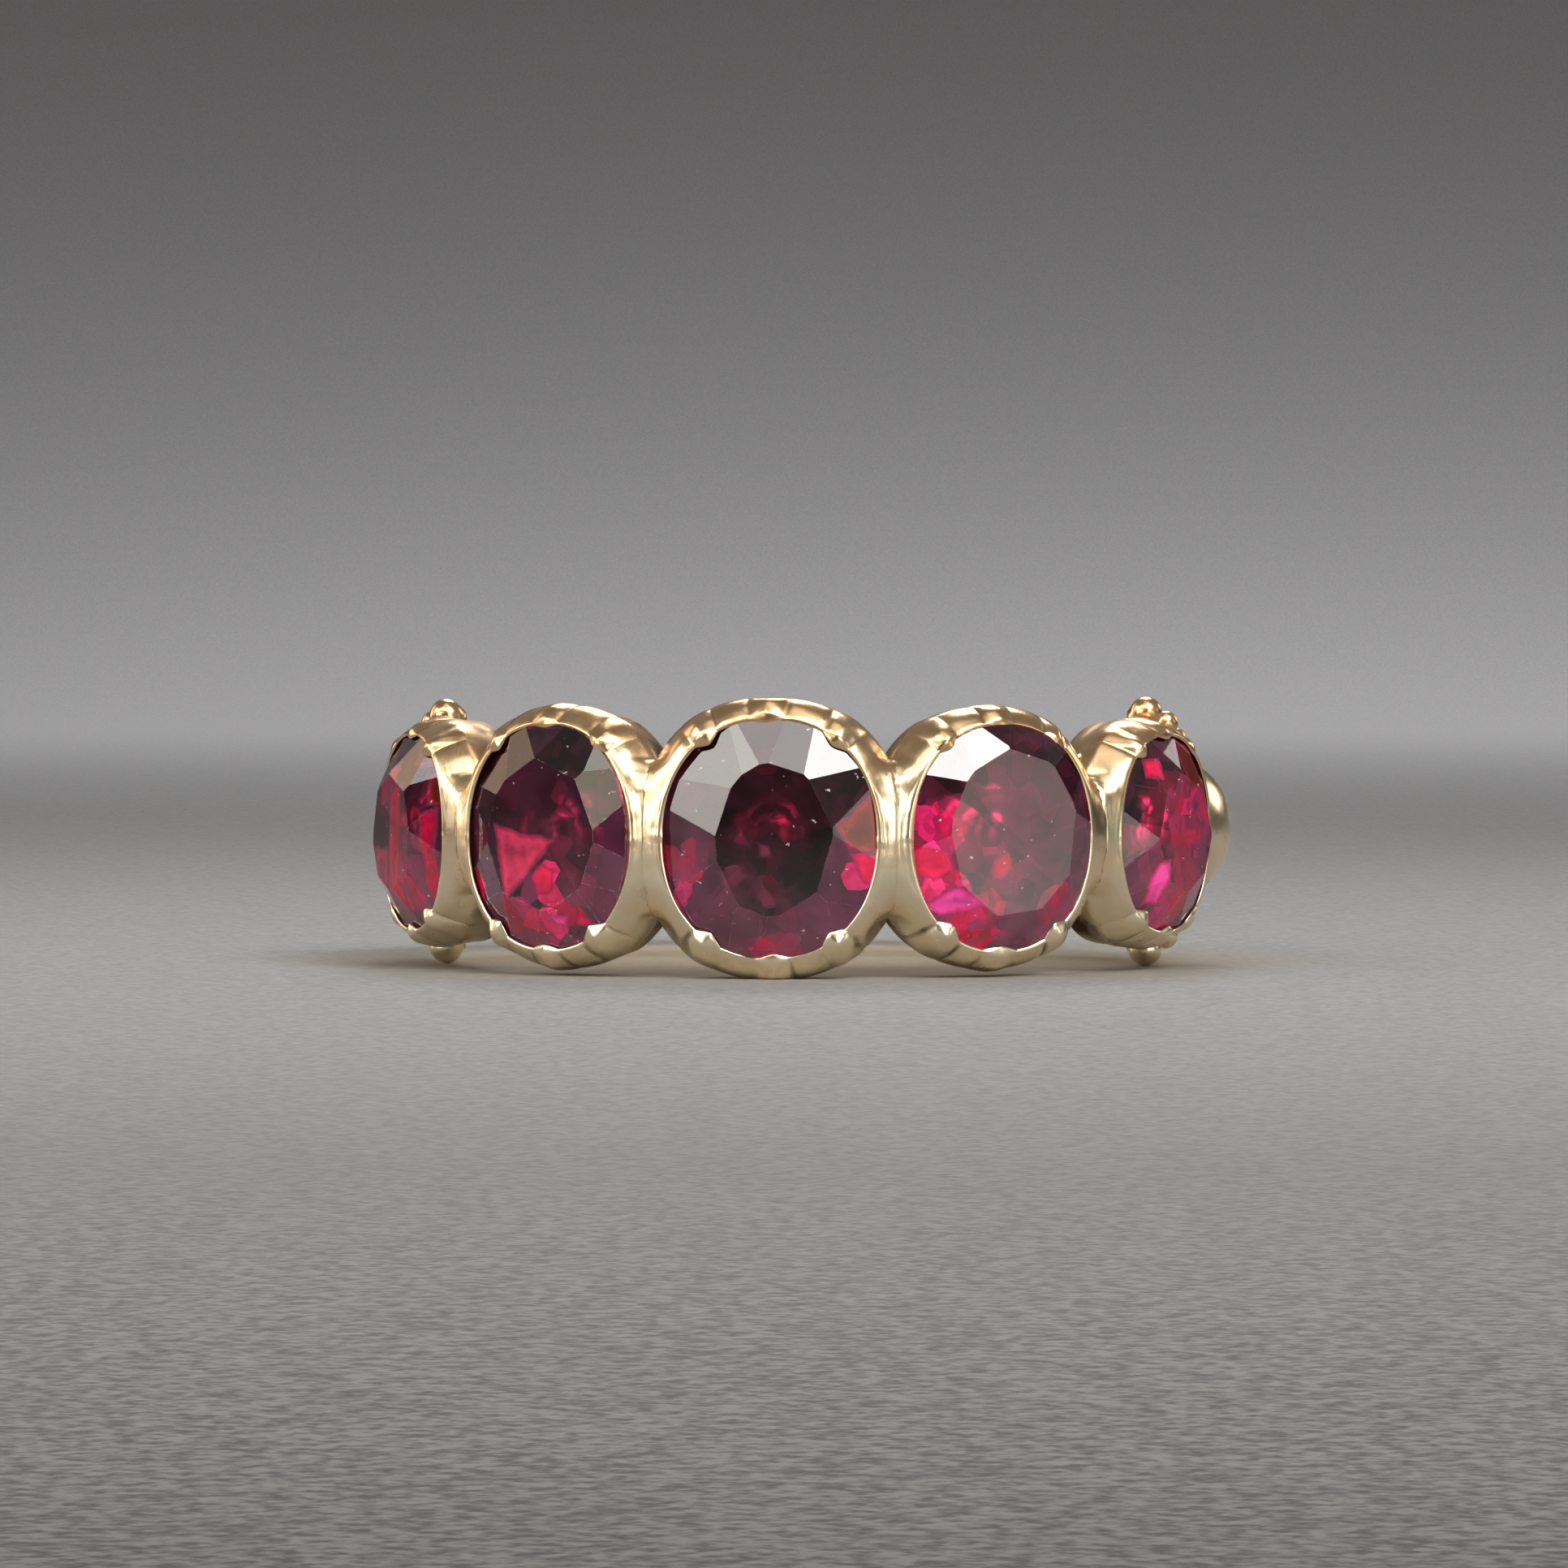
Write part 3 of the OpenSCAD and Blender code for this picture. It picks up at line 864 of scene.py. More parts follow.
@dataclass
class Collet:
    """One cut down collet: a bowl of gold with eight claws, closed at the back.

    Rows run from the middle of the back, over the foot, up the wall, over the rim and down the
    cup. Columns: part of the stone's outline, offset from it, height, then the offset and the
    height that a claw adds, how far the height counts from the finger hole's wall, and how much
    the row takes of the grooves beside the claws, of the solder and of the dents.
    """

    seat: Seat
    seed: int
    columns: int = 400
    # A full claw's half width in degrees, and how its sides fall
    claw_half_angle: float = 5.6
    claw_power: float = 1.5
    # Least and most of a claw's width and length, its shift in degrees, and a worn one's length
    widths: tuple = (0.88, 1.14)
    lengths: tuple = (0.86, 1.04)
    shift: float = 1.5
    worn_length: float = 0.4
    worn_side: float = -25.0
    # Depth of the grooves, the least of them, their distance from a claw's side and their width
    groove_depth: float = 0.045
    groove_least: float = 0.25
    groove_gap: float = 0.6
    groove_width: float = 1.7
    solder: float = 1.0
    thin_solder: float = 0.25
    # Depth and size of the dents, large and small
    dents: tuple = ((0.018, 1.2), (0.007, 0.4))
    # How much of the wall is gone above and below the stone of a collet at the slimmest's angle,
    # and the wall that is left whole
    slim: float = 0.6
    slim_angle: float = 64.0
    wall_left: float = 0.05
    # Rows of the profile that are the outer wall, the height of its top, and the rows of the
    # denser profile that line the cup
    wall_rows: tuple = (6, 15)
    wall_top: float = 0.17
    cup_rows: int = 14
    # Size of the patches of tarnish, width of the dark in a joint, heights on the seat between
    # which the belly darkens, and how dark grooves, joints, belly and cup get: partly tarnish, partly
    # painted shade
    patch_size: float = 0.9
    joint_width: float = 0.26
    belly: tuple = (-0.9, -1.6)
    groove_dark: tuple = (0.2625, 0.75)
    joint_dark: tuple = (0.15, 0.75)
    belly_dark: float = 0.45
    cup_dark: float = 0.55
    # Each claw's angle round the stone, then its width, its length and the ridge below it, as
    # parts of a full one
    claws: tuple = (
        (0, 0.5, 0.04, 0),
        (57, 1.2, 0.65, 0.7),
        (90, 1.4, 0.35, 0.8),
        (123, 1.2, 0.65, 0.7),
        (180, 0.5, 0.04, 0),
        (237, 1.35, 0.85, 1),
        (270, 1.45, 0.5, 1),
        (303, 1.35, 0.85, 1),
    )
    profile: tuple = (
        (0.06, 0, 0.0, 0, 0, 1, 0, 0, 0),
        (0.45, 0, 0.0, 0, 0, 1, 0, 0, 0.3),
        (0.78, 0, 0.0, 0, 0, 1, 0, 0, 0.3),
        (1, -0.44, 0.01, 0, 0, 1, 0, 0, 0.2),
        (1, -0.34, 0.07, 0, 0, 1, 0, 0.5, 0.2),
        (1, -0.22, 0.24, 0, 0, 1, 0, 1, 0.5),
        (1, 0.04, -1.5, 0, 0, 0, 0, 1, 1),
        (1, 0.28, -1.12, 0, 0, 0, 0, 1, 1),
        (1, 0.43, -0.78, 0.02, 0, 0, 0.25, 1, 1),
        (1, 0.47, -0.5, 0.06, 0, 0, 0.6, 1, 1),
        (1, 0.44, -0.24, 0.1, 0.02, 0, 1, 1, 1),
        (1, 0.34, -0.04, 0.14, 0.08, 0, 1, 1, 1),
        (1, 0.22, 0.08, 0.11, 0.14, 0, 0.9, 0.8, 0.8),
        (1, 0.13, 0.145, 0.03, 0.19, 0, 0.6, 0.5, 0.5),
        (1, 0.06, 0.172, -0.12, 0.165, 0, 0.2, 0.2, 0.3),
        (1, 0.015, 0.172, -0.21, 0.15, 0, 0, 0, 0.25),
        (1, -0.012, 0.156, -0.26, 0.125, 0, 0, 0, 0.2),
        (1, -0.005, 0.135, -0.22, 0.095, 0, 0, 0, 0),
        (1, 0.03, 0.12, -0.07, 0.03, 0, 0, 0, 0),
        (1, 0.045, 0.02, 0, 0.01, 0, 0, 0, 0),
        (1, 0.045, -0.17, 0, 0, 0, 0, 0, 0),
        (WAIST_PART, 0, pavilion_z(WAIST_PART) - CUP_SAG, 0, 0, 0, 0, 0, 0),
        (CUP_FLOOR_PART, 0, pavilion_z(0) - CUP_SAG, 0, 0, 0, 0, 0, 0),
    )

    def slimmed(self, offset: Array, angle: Array) -> Array:
        """The wall's offset made less above and below the stone, the more the further out it sits."""
        gone = self.slim * abs(self.seat.angle) / self.slim_angle * np.sin(angle) ** 2
        return offset - gone * np.clip(offset - self.wall_left, 0, None)

    def outside(self, world: Array) -> Array:
        """How far points lie outside the wall: their radius on the seat less the wall's there.

        Args:
            world: points of the whole ring.

        Returns:
            A distance for each point, less than 0 inside.
        """
        place = self.seat.to_seat(world)
        wall = np.array(self.profile)[slice(*self.wall_rows)]
        angle = np.arctan2(place[:, 1], place[:, 0])
        offset = np.interp(place[:, 2], wall[:, 2], wall[:, 1])
        radius = self.seat.oval(angle) + self.slimmed(offset, angle)
        return np.maximum(np.hypot(place[:, 0], place[:, 1]) - radius, place[:, 2] - self.wall_top)

    def claw_shape(self, angle: Array) -> tuple[Array, Array, Array]:
        """How far up each claw and how deep in the grooves beside it each angle lies.

        A claw is one less a power of the way to its flank, and a groove is a bell curve just
        past the flank. Claws differ a little in place, width and length, and the end stones' outer
        claws are worn down.

        Args:
            angle: angles round the stone, in degrees.

        Returns:
            The claws' height, the height of the ridge below them and the grooves' depth, all
            from 0 to about 1.
        """
        rng = np.random.default_rng(SEED + self.seed)
        claw, ridge, groove = (np.zeros_like(angle) for _ in range(3))
        for middle, wide, long, below in self.claws:
            width = self.claw_half_angle * wide * rng.uniform(*self.widths)
            outer = -math.cos(math.radians(middle)) * self.seat.angle < self.worn_side
            length = long * rng.uniform(*self.lengths) * (self.worn_length if outer else 1)
            away = (angle - middle - rng.uniform(-self.shift, self.shift) + 540) % 360 - 180
            shape = length * np.clip(1 - np.abs(away / width) ** self.claw_power, 0, 1)
            claw = np.maximum(claw, shape)
            ridge = np.maximum(ridge, below * shape / length)
            for side in (-1, 1):
                past = (side * away - width - self.groove_gap) / self.groove_width
                cut = below * rng.uniform(self.groove_least, 1) * np.exp(-(past**2))
                groove = np.maximum(groove, cut)
        return claw, ridge, groove

    def mesh(self, neighbours: Sequence[Field], behind: Sequence[Field]) -> Mesh:
        """Builds the collet.

        Args:
            neighbours: distance functions of the solids it is soldered to.
            behind: those of the solids that it meets with little solder.

        Returns:
            The closed mesh, marked with its tarnish and painted shade.
        """
        seat = self.seat
        degrees = np.arange(self.columns) * 360 / self.columns
        angle = np.radians(degrees)
        claw, ridge, groove = self.claw_shape(degrees)
        rows = smooth_rows(self.profile, 3)
        part, offset, height, claw_out, claw_up, bore, grooved, joint, dents = (c[:, None] for c in rows.T)
        out = np.where(claw_out > 0, claw_out * ridge, claw_out * claw)
        wall = self.slimmed(offset, angle)
        radius = part * seat.oval(angle) + wall + out - self.groove_depth * grooved * groove
        x, y = radius * np.cos(angle), radius * np.sin(angle)
        bore = np.clip(bore, 0, 1)
        z = (1 - bore) * (height + claw_up * claw) + bore * (seat.bore_z(x) + height)
        grid = seat.to_world(np.stack([x, y, z], axis=-1))
        share = np.clip(joint[:, 0], 0, 1)
        grid = soldered(grid, self.outside, neighbours, self.solder, share)
        grid = soldered(grid, self.outside, behind, self.thin_solder, share)
        flat, wave = grid.reshape(-1, 3), 0
        for k, (deep, size) in enumerate(self.dents):
            wave = wave + deep * value_noise(flat, size, self.seed + k)
        wave = wave.reshape(grid.shape[:2]) * np.clip(dents, 0, 1)
        grid = held_flat(grid + grid_normals(grid) * wave[..., None])
        beside = [*neighbours, *behind]
        return closed_shell(grid, {"tarnish_and_shade": self.tarnish_and_shade(grid, grooved * groove, beside, joint[:, 0])})

    def tarnish_and_shade(self, grid: Array, groove: Array, neighbours: Sequence[Field], joint: Array) -> Array:
        """Where the gold is dark, partly tarnish and partly painted shade: beside claws, in the joints,
        under the belly and in the cup.

        Args:
            grid: points of the collet.
            groove: depth of the grooves at each of them.
            neighbours: distance functions of the solids beside it.
            joint: part of the solder that each row takes.

        Returns:
            A number from 0, clean, to 1, for each point.
        """
        flat = grid.reshape(-1, 3)
        patch = patches(flat, self.patch_size, self.seed + 7).reshape(groove.shape)
        gap = nearest(flat, neighbours).reshape(groove.shape)
        joined = seam(gap, self.joint_width) * joint[:, None]
        place = self.seat.to_seat(flat)
        start, full = self.belly
        low = np.clip((start - place[:, 2]) / (start - full), 0, 1).reshape(groove.shape)
        cup = np.zeros_like(groove)
        cup[-self.cup_rows :] = self.cup_dark
        even, patchy = self.groove_dark
        # Painted shade with tarnish: darker in the grooves, low on the belly, in the joints and in the cup
        dark = groove * (even + patchy * patch) + self.belly_dark * low * patch
        even, patchy = self.joint_dark
        dark += joined * (even + patchy * patch)
        return np.clip(np.maximum(dark, cup), 0, 1)


@dataclass
class Band:
    """Gold between the feet of two collets: a rounded bar carried round the finger."""

    start: float
    end: float
    rise: float = 1.15
    inner: float = 0.035
    half_w: float = 1.95
    power: float = 5.0
    solder: float = 0.42
    # Tarnish and painted shade: width of the dark in a joint, its even and its patchy part, and a patch's
    # size
    joint_width: float = 0.2
    joint_dark: tuple = (0.2, 0.7)
    patch_size: float = 0.8
    rows: int = 40
    columns: int = 120

    @property
    def section(self) -> tuple[float, float]:
        """Radius of the bar's middle from the finger's axis, and half its thickness."""
        return BORE_R + (self.rise + self.inner) / 2, (self.rise - self.inner) / 2

    def outside(self, world: Array) -> Array:
        """How far points lie outside the bar, from its rounded section.

        Args:
            world: points of the whole ring.

        Returns:
            A distance for each point, less than 0 inside.
        """
        middle, half = self.section
        up = np.abs((np.hypot(world[:, 0], world[:, 1]) - middle) / half) ** self.power
        across = np.abs(world[:, 2] / self.half_w) ** self.power
        return ((up + across) ** (1 / self.power) - 1) * half

    def mesh(self, neighbours: Sequence[Field], seed: int) -> Mesh:
        """Builds the bar: a rounded rectangle, (|cos|, |sin|) to the power 2 / 5, carried along.

        Args:
            neighbours: distance functions of the solids it is soldered to.
            seed: picks the patches of tarnish.

        Returns:
            The closed mesh, marked with its tarnish and painted shade.
        """
        turn = np.radians(np.linspace(self.start, self.end, self.rows))[:, None]
        along = turns(self.columns)
        middle, half = self.section
        radius = middle + half * power_wave(np.sin(along), 2 / self.power)
        height = self.half_w * power_wave(np.cos(along), 2 / self.power)
        grid = around_finger(turn + 0 * along, radius + 0 * turn, height + 0 * turn)
        grid = soldered(grid, self.outside, neighbours, self.solder, np.ones(self.rows))
        grid = held_off_axis(grid, BORE_R + self.inner)
        flat = grid.reshape(-1, 3)
        even, patchy = self.joint_dark
        dark = even + patchy * patches(flat, self.patch_size, seed)
        # Painted shade with tarnish: darker near the collets
        dark *= seam(nearest(flat, neighbours), self.joint_width)
        return closed_shell(grid, {"tarnish_and_shade": dark.reshape(grid.shape[:2])})


# Hoop and shoulders


@dataclass
class Hoop:
    """Plain hoop behind the finger: a full D section carried from shoulder to shoulder."""

    start: float = LEAF_ANGLE - 3
    thick: float = 1.2
    half_w: float = 1.2
    power: float = 2.7
    solder: float = 0.5
    # Length of an end, in degrees, and the section there: rise of its inside over the finger
    # hole, and its outside and half width as parts of the full ones
    end_length: float = 36.0
    end_rise: float = 0.3
    end_thick: float = 0.7
    end_half_w: float = 0.6
    # Depth and size of the dents, how dark the tarnish gets and the size of its patches
    dents: tuple = (0.012, 1.8)
    dullness: float = 0.22
    patch_size: float = 1.4
    rows: int = 300
    columns: int = 96

    def section(self, past: Array) -> tuple[Array, Array, Array]:
        """The section at places along the hoop, which swells smoothly from each end.

        Args:
            past: how far past the nearer end each place is, in degrees.

        Returns:
            Rise of the section's inside and outside over the finger hole, and its half width.
        """
        full = np.clip(past / self.end_length, 0, 1)
        full = full**2 * (3 - 2 * full)
        high = self.thick * (self.end_thick + (1 - self.end_thick) * full)
        half_w = self.half_w * (self.end_half_w + (1 - self.end_half_w) * full)
        return self.end_rise * (1 - full), high, half_w

    def outside(self, world: Array) -> Array:
        """How far points lie outside the hoop, from its rounded section or past its ends.

        Args:
            world: points of the whole ring.

        Returns:
            A distance for each point, less than 0 inside.
        """
        past = np.abs(finger_angle(world)) - self.start
        low, high, half_w = self.section(past)
        rise = np.hypot(world[:, 0], world[:, 1]) - BORE_R
        half_t = (high - low) / 2
        up = np.abs((rise - low) / half_t - 1) ** self.power
        across = np.abs(world[:, 2] / half_w) ** self.power
        round_it = ((up + across) ** (1 / self.power) - 1) * half_t
        return np.maximum(round_it, -past * math.radians(BORE_R))

    def mesh(self, neighbours: Sequence[Field]) -> Mesh:
        """Builds the hoop: the section's two powers of cosine and sine, turned round the finger.

        Near each end the section shrinks and leaves the bore, so that it ends inside a shoulder.

        Args:
            neighbours: distance functions of the solids it is soldered to.

        Returns:
            The closed mesh, marked with its tarnish.
        """
        degrees = np.linspace(self.start, 360 - self.start, self.rows)[:, None]
        along = turns(self.columns)
        past = np.minimum(degrees - self.start, 360 - self.start - degrees)
        low, high, half_w = self.section(past)
        radius = BORE_R + low + (high - low) / 2 * (1 + power_wave(np.sin(along), 2 / self.power))
        height = half_w * power_wave(np.cos(along), 2 / self.power)
        grid = around_finger(np.radians(degrees) + 0 * along, radius, height)
        share = np.clip(past[:, 0] / self.end_length, 0, 1)
        grid = soldered(grid, self.outside, neighbours, self.solder, share)
        grid = held_off_axis(dented(grid, *self.dents, HOOP_SEED), BORE_R, BORE_R + self.thick)
        dark = self.dullness * patches(grid.reshape(-1, 3), self.patch_size, HOOP_SEED + 2)
        return closed_shell(grid, {"tarnish_and_shade": dark.reshape(grid.shape[:2])})


@dataclass
class Bead:
    """One bead on a shoulder's edge: its middle and its radius."""

    middle: Array
    radius: float
    solder: float = 0.3
    # Depth and size of the dents, and width and darkness of the tarnish and painted shade in the joint
    dents: tuple = (0.02, 0.45)
    joint_width: float = 0.1
    joint_dark: float = 0.8
    rows: int = 34
    columns: int = 56

    def outside(self, world: Array) -> Array:
        """How far points lie outside the bead."""
        return np.linalg.norm(world - self.middle, axis=1) - self.radius

    def mesh(self, neighbours: Sequence[Field], seed: int) -> Mesh:
        """Builds the bead: a ball by latitude and longitude, with hand made dents.

        Args:
            neighbours: distance functions of the solids it is soldered to.
            seed: picks the dents.

        Returns:
            The closed mesh, marked with its tarnish and painted shade.
        """
        lat = np.linspace(-np.pi / 2, np.pi / 2, self.rows)[1:-1][:, None]
        lon = turns(self.columns)
        ball = [np.cos(lat) * np.cos(lon), np.cos(lat) * np.sin(lon), np.sin(lat) + 0 * lon]
        ball = np.stack(ball, axis=-1)
        grid = self.middle + self.radius * ball
        grid = soldered(grid, self.outside, neighbours, self.solder, np.ones(len(ball)))
        deep, size = self.dents
        dent = deep * (value_noise(grid.reshape(-1, 3), size, seed) - 0.5)
        grid = held_flat(grid + ball * dent.reshape(grid.shape[:2])[..., None])
        # Painted shade with tarnish: darker where the bead meets its neighbours
        dark = self.joint_dark * seam(nearest(grid.reshape(-1, 3), neighbours), self.joint_width)
        return closed_shell(grid, {"tarnish_and_shade": dark.reshape(grid.shape[:2])})


# Columns: angle past the middle of the leaf, rise over the finger hole, height and radius
EVEN_BEADS = (
    (-14.4, 0.55, -3, 0.42),
    (-14.4, 0.55, 3, 0.42),
    (-7, 0.82, -2.7, 0.328),
    (-7, 0.82, 2.7, 0.328),
    (0, 0.98, -2.3, 0.294),
    (0, 0.98, 2.3, 0.294),
)
# On the left the upper front bead is larger and sits a little lower
LEFT_BEADS = (EVEN_BEADS[0], (-14.4, 0.55, 2.88, 0.45), *EVEN_BEADS[2:])


@dataclass
class Shoulder:
    """A fan shaped plate with a domed leaf along its middle and three beads on each edge.

    Columns of the table: angle past the leaf's middle, half width and rise of the fan above the
    finger hole, half width of the leaf as a part of its widest, and its rise past the hoop as a
    part of its highest.
    """

    side: Side
    bead_table: tuple = EVEN_BEADS
    leaf_half_w: float = 1.75
    leaf_rise: float = 1.23
    hoop_t: float = 1.2
    edge: float = 0.3
    # Gap that keeps the underside off the finger hole's wall
    under: float = 0.02
    # Powers of the plate's drop at its edge and of the leaf's roundness, the deepest that a leaf
    # may lie under the plate, and depth and width of the groove beside it
    edge_power: float = 5
    leaf_power: float = 0.55
    leaf_dip: float = 0.4
    groove_depth: float = 0.05
    groove_width: float = 0.1
    tail_length: float = 12.0
    solder: float = 0.3
    # Depth and size of the dents
    dents: tuple = (0.014, 0.9)
    # Width of the dark lines, partly tarnish and partly painted shade, how dark they are beside the
    # leaf, in its even and its patchy part, and in the joints, and the size of a patch
    dark_width: float = 0.14
    leaf_dark: tuple = (0.3, 0.45)
    joint_dark: float = 0.6
    patch_size: float = 0.7
    steps: int = 12
    columns: int = 160
    table: tuple = (
        (-20, 2.3, 0.5, 0.5, -0.5),
        (-14.4, 2.95, 0.65, 0.75, -0.1),
        (-7, 2.8, 0.95, 0.94, 0.6),
        (0, 2.42, 1.15, 1, 0.95),
        (7, 2.05, 1.15, 0.97, 1),
        (16, 1.6, 1, 0.82, 0.65),
        (26, 1.22, 0.8, 0.66, 0.25),
        (38, 0.95, 0.6, 0.5, -0.15),
    )

    @property
    def beads(self) -> list[Bead]:
        """The shoulder's beads.

        Returns:
            Six of them, largest first.
        """
        found = []
        for turn, rise, height, radius in self.bead_table:
            angle = self.side.value * math.radians(LEAF_ANGLE + turn)
            middle = around_finger(np.array(angle), np.array(BORE_R + rise), np.array(height))
            found.append(Bead(middle, radius))
        return found

    def top(self, row: Array, height: Array) -> Array:
        """Radius from the finger's axis of the upper surface at heights across the ring.

        The plate is nearly flat and drops at its edge as one less a fifth power, and the leaf
        adds half an ellipse along the middle with a fine groove beside it.

        Args:
            row: columns of the table for each section.
            height: places across each section.

        Returns:
            The radius at each place.
        """
        _, half_w, fan, leaf_w, leaf_up = row
        across = np.clip(np.abs(height) / half_w, 0, 1)
        plate = self.edge + (fan - self.edge) * np.sqrt(1 - across**self.edge_power)
        leaf_half = self.leaf_half_w * leaf_w
        inside = np.clip(1 - (height / leaf_half) ** 2, 0, 1)
        leaf = self.hoop_t + self.leaf_rise * leaf_up - fan
        leaf = np.clip(leaf, -self.leaf_dip, None) * inside**self.leaf_power
        beside = (np.abs(height) - leaf_half) / self.groove_width
        groove = self.groove_depth * np.exp(-(beside**2))
        return BORE_R + plate + leaf - groove * (leaf_up > 0)

    def outside(self, world: Array) -> Array:
        """How far points lie outside the shoulder, over its top or past its edges.

        Args:
            world: points of the whole ring.

        Returns:
            A distance for each point, less than 0 inside.
        """
        turn = self.side.value * finger_angle(world) - LEAF_ANGLE
        table = np.array(self.table)
        row = [np.interp(turn, table[:, 0], column) for column in table.T]
        over = np.hypot(world[:, 0], world[:, 1]) - self.top(row, world[:, 2])
        past = np.abs(world[:, 2]) - row[1]
        ends = np.maximum(table[0, 0] - turn, turn - table[-1, 0]) * math.radians(BORE_R)
        return np.maximum(np.maximum(over, past), ends)

    def mesh(self, neighbours: Sequence[Field], seed: int) -> Mesh:
        """Builds plate and leaf: sections across the ring, carried round the finger.

        A section runs over the top from edge to edge and back under it, with the place across
        the ring as the sine of the way round the section. The underside rises to the edge as
        one less the root of one less a fourth power.

        Args:
            neighbours: distance functions of the solids it is soldered to.
            seed: picks the dents and the patches of tarnish.

        Returns:
            The closed mesh, marked with its tarnish and painted shade.
        """
        rows = smooth_rows(self.table, self.steps)
        turn = self.side.value * np.radians(LEAF_ANGLE + rows[:, 0])[:, None]
        way = np.linspace(-np.pi / 2, 3 * np.pi / 2, self.columns, endpoint=False)[None, :]
        columns = [column[:, None] for column in rows.T]
        height = columns[1] * np.sin(way)
        rounded = 1 - np.sqrt(1 - np.clip(np.abs(np.sin(way)), 0, 1) ** 4)
        below = BORE_R + self.under + self.edge * rounded
        radius = np.where(way < np.pi / 2, self.top(columns, height), below)
        grid = around_finger(turn + 0 * way, radius, height)
        leaf_edge = np.abs(np.abs(height) - self.leaf_half_w * columns[3])
        if self.side is Side.LEFT:
            grid, leaf_edge = grid[:, ::-1], leaf_edge[:, ::-1]
        share = np.clip((rows[-1, 0] - rows[:, 0]) / self.tail_length, 0, 1)
        grid = soldered(grid, self.outside, neighbours, self.solder, share)
        grid = held_flat(held_off_axis(dented(grid, *self.dents, seed), BORE_R))
        flat = grid.reshape(-1, 3)
        patch = patches(flat, self.patch_size, seed + 3).reshape(leaf_edge.shape)
        gap = nearest(flat, neighbours).reshape(leaf_edge.shape)
        # Painted shade with tarnish: darker beside the leaf and in the joints
        even, patchy = self.leaf_dark
        dark = seam(leaf_edge, self.dark_width) * (even + patchy * patch)
        dark += self.joint_dark * seam(gap, self.dark_width) * patch
        return closed_shell(grid, {"tarnish_and_shade": np.clip(dark, 0, 1)})


# Stones and foils


# Corners nearer than this are one, three planes that span less than this meet nowhere, a corner
# further past a plane than this is cut away, and a direction that no facet faces
SAME_PLACE = 2e-3
LEAST_SPAN = 1e-5
CUT_AWAY = 1e-6
NO_PLANE_FACES = (0.3, 0.5, 0.81)


def cut_solid(planes: Array) -> tuple[Array, list[list[int]], list[int]]:
    """Corners and facets of the solid that cutting planes leave of a stone.

    A corner is where three planes meet and no other plane cuts it away. The corners on a plane,
    in order round their middle, are its facet.

    Args:
        planes: rows of a plane's normal and its distance from the middle.

    Returns:
        The corners, each facet as a list of corner numbers, and the number of each facet's plane.
    """
    normals, reach = planes[:, :3], planes[:, 3]
    trios = np.array(list(itertools.combinations(range(len(planes)), 3)))
    sides = normals[trios]
    trios, sides = (part[np.abs(np.linalg.det(sides)) > LEAST_SPAN] for part in (trios, sides))
    met = np.linalg.solve(sides, reach[trios][..., None])[..., 0]
    met = met[np.all(met @ normals.T <= reach + CUT_AWAY, axis=1)]
    apart = np.linalg.norm(met[:, None] - met[None], axis=2)
    corners = met[np.unique(np.argmax(apart < SAME_PLACE, axis=1))]
    facets, kept = [], []
    for number, (normal, distance) in enumerate(zip(normals, reach)):
        on = np.flatnonzero(np.abs(corners @ normal - distance) < 1.5 * SAME_PLACE)
        if len(on) < 3:
            continue
        across = corners[on] - corners[on].mean(0)
        first = np.cross(normal, NO_PLANE_FACES)
        first /= np.linalg.norm(first)
        order = np.argsort(np.arctan2(across @ np.cross(normal, first), across @ first))
        facets.append(on[order].tolist())
        kept.append(number)
    return corners, facets, kept


@dataclass(frozen=True)
class Cut:
    """How a stone is cut and where light is painted into it.

    A painted glow is its place on the seat in millimetres, its size and its strength, and a dull place
    has a strength below 0 and only darkens the foil. A painted shard, a painted reflection of one
    inner face, is its strength, its colour and its corners on the seat, going round against the clock.
    Main facets near a broad angle are cut deeper, and a half facet cuts the crown's foot at its angle,
    with its slope given as a part of a main facet's lean. The table's growth, its extra height over its
    width and its shift to the right and up are parts of the outline, which leave the slopes as they are.
    """

    corners: int = 8
    turn: float = 2.0
    table_part: float = 0.6
    table_haze: float = 0.1
    table_grow: float = 0.0
    table_tall: float = 0.0
    table_shift: tuple = (0.0, 0.0)
    broad: tuple = ()
    halves: tuple = ()
    shine: float = 0.3
    density: float = 480.0
    painted_glows: tuple = ()
    painted_shards: tuple = ()


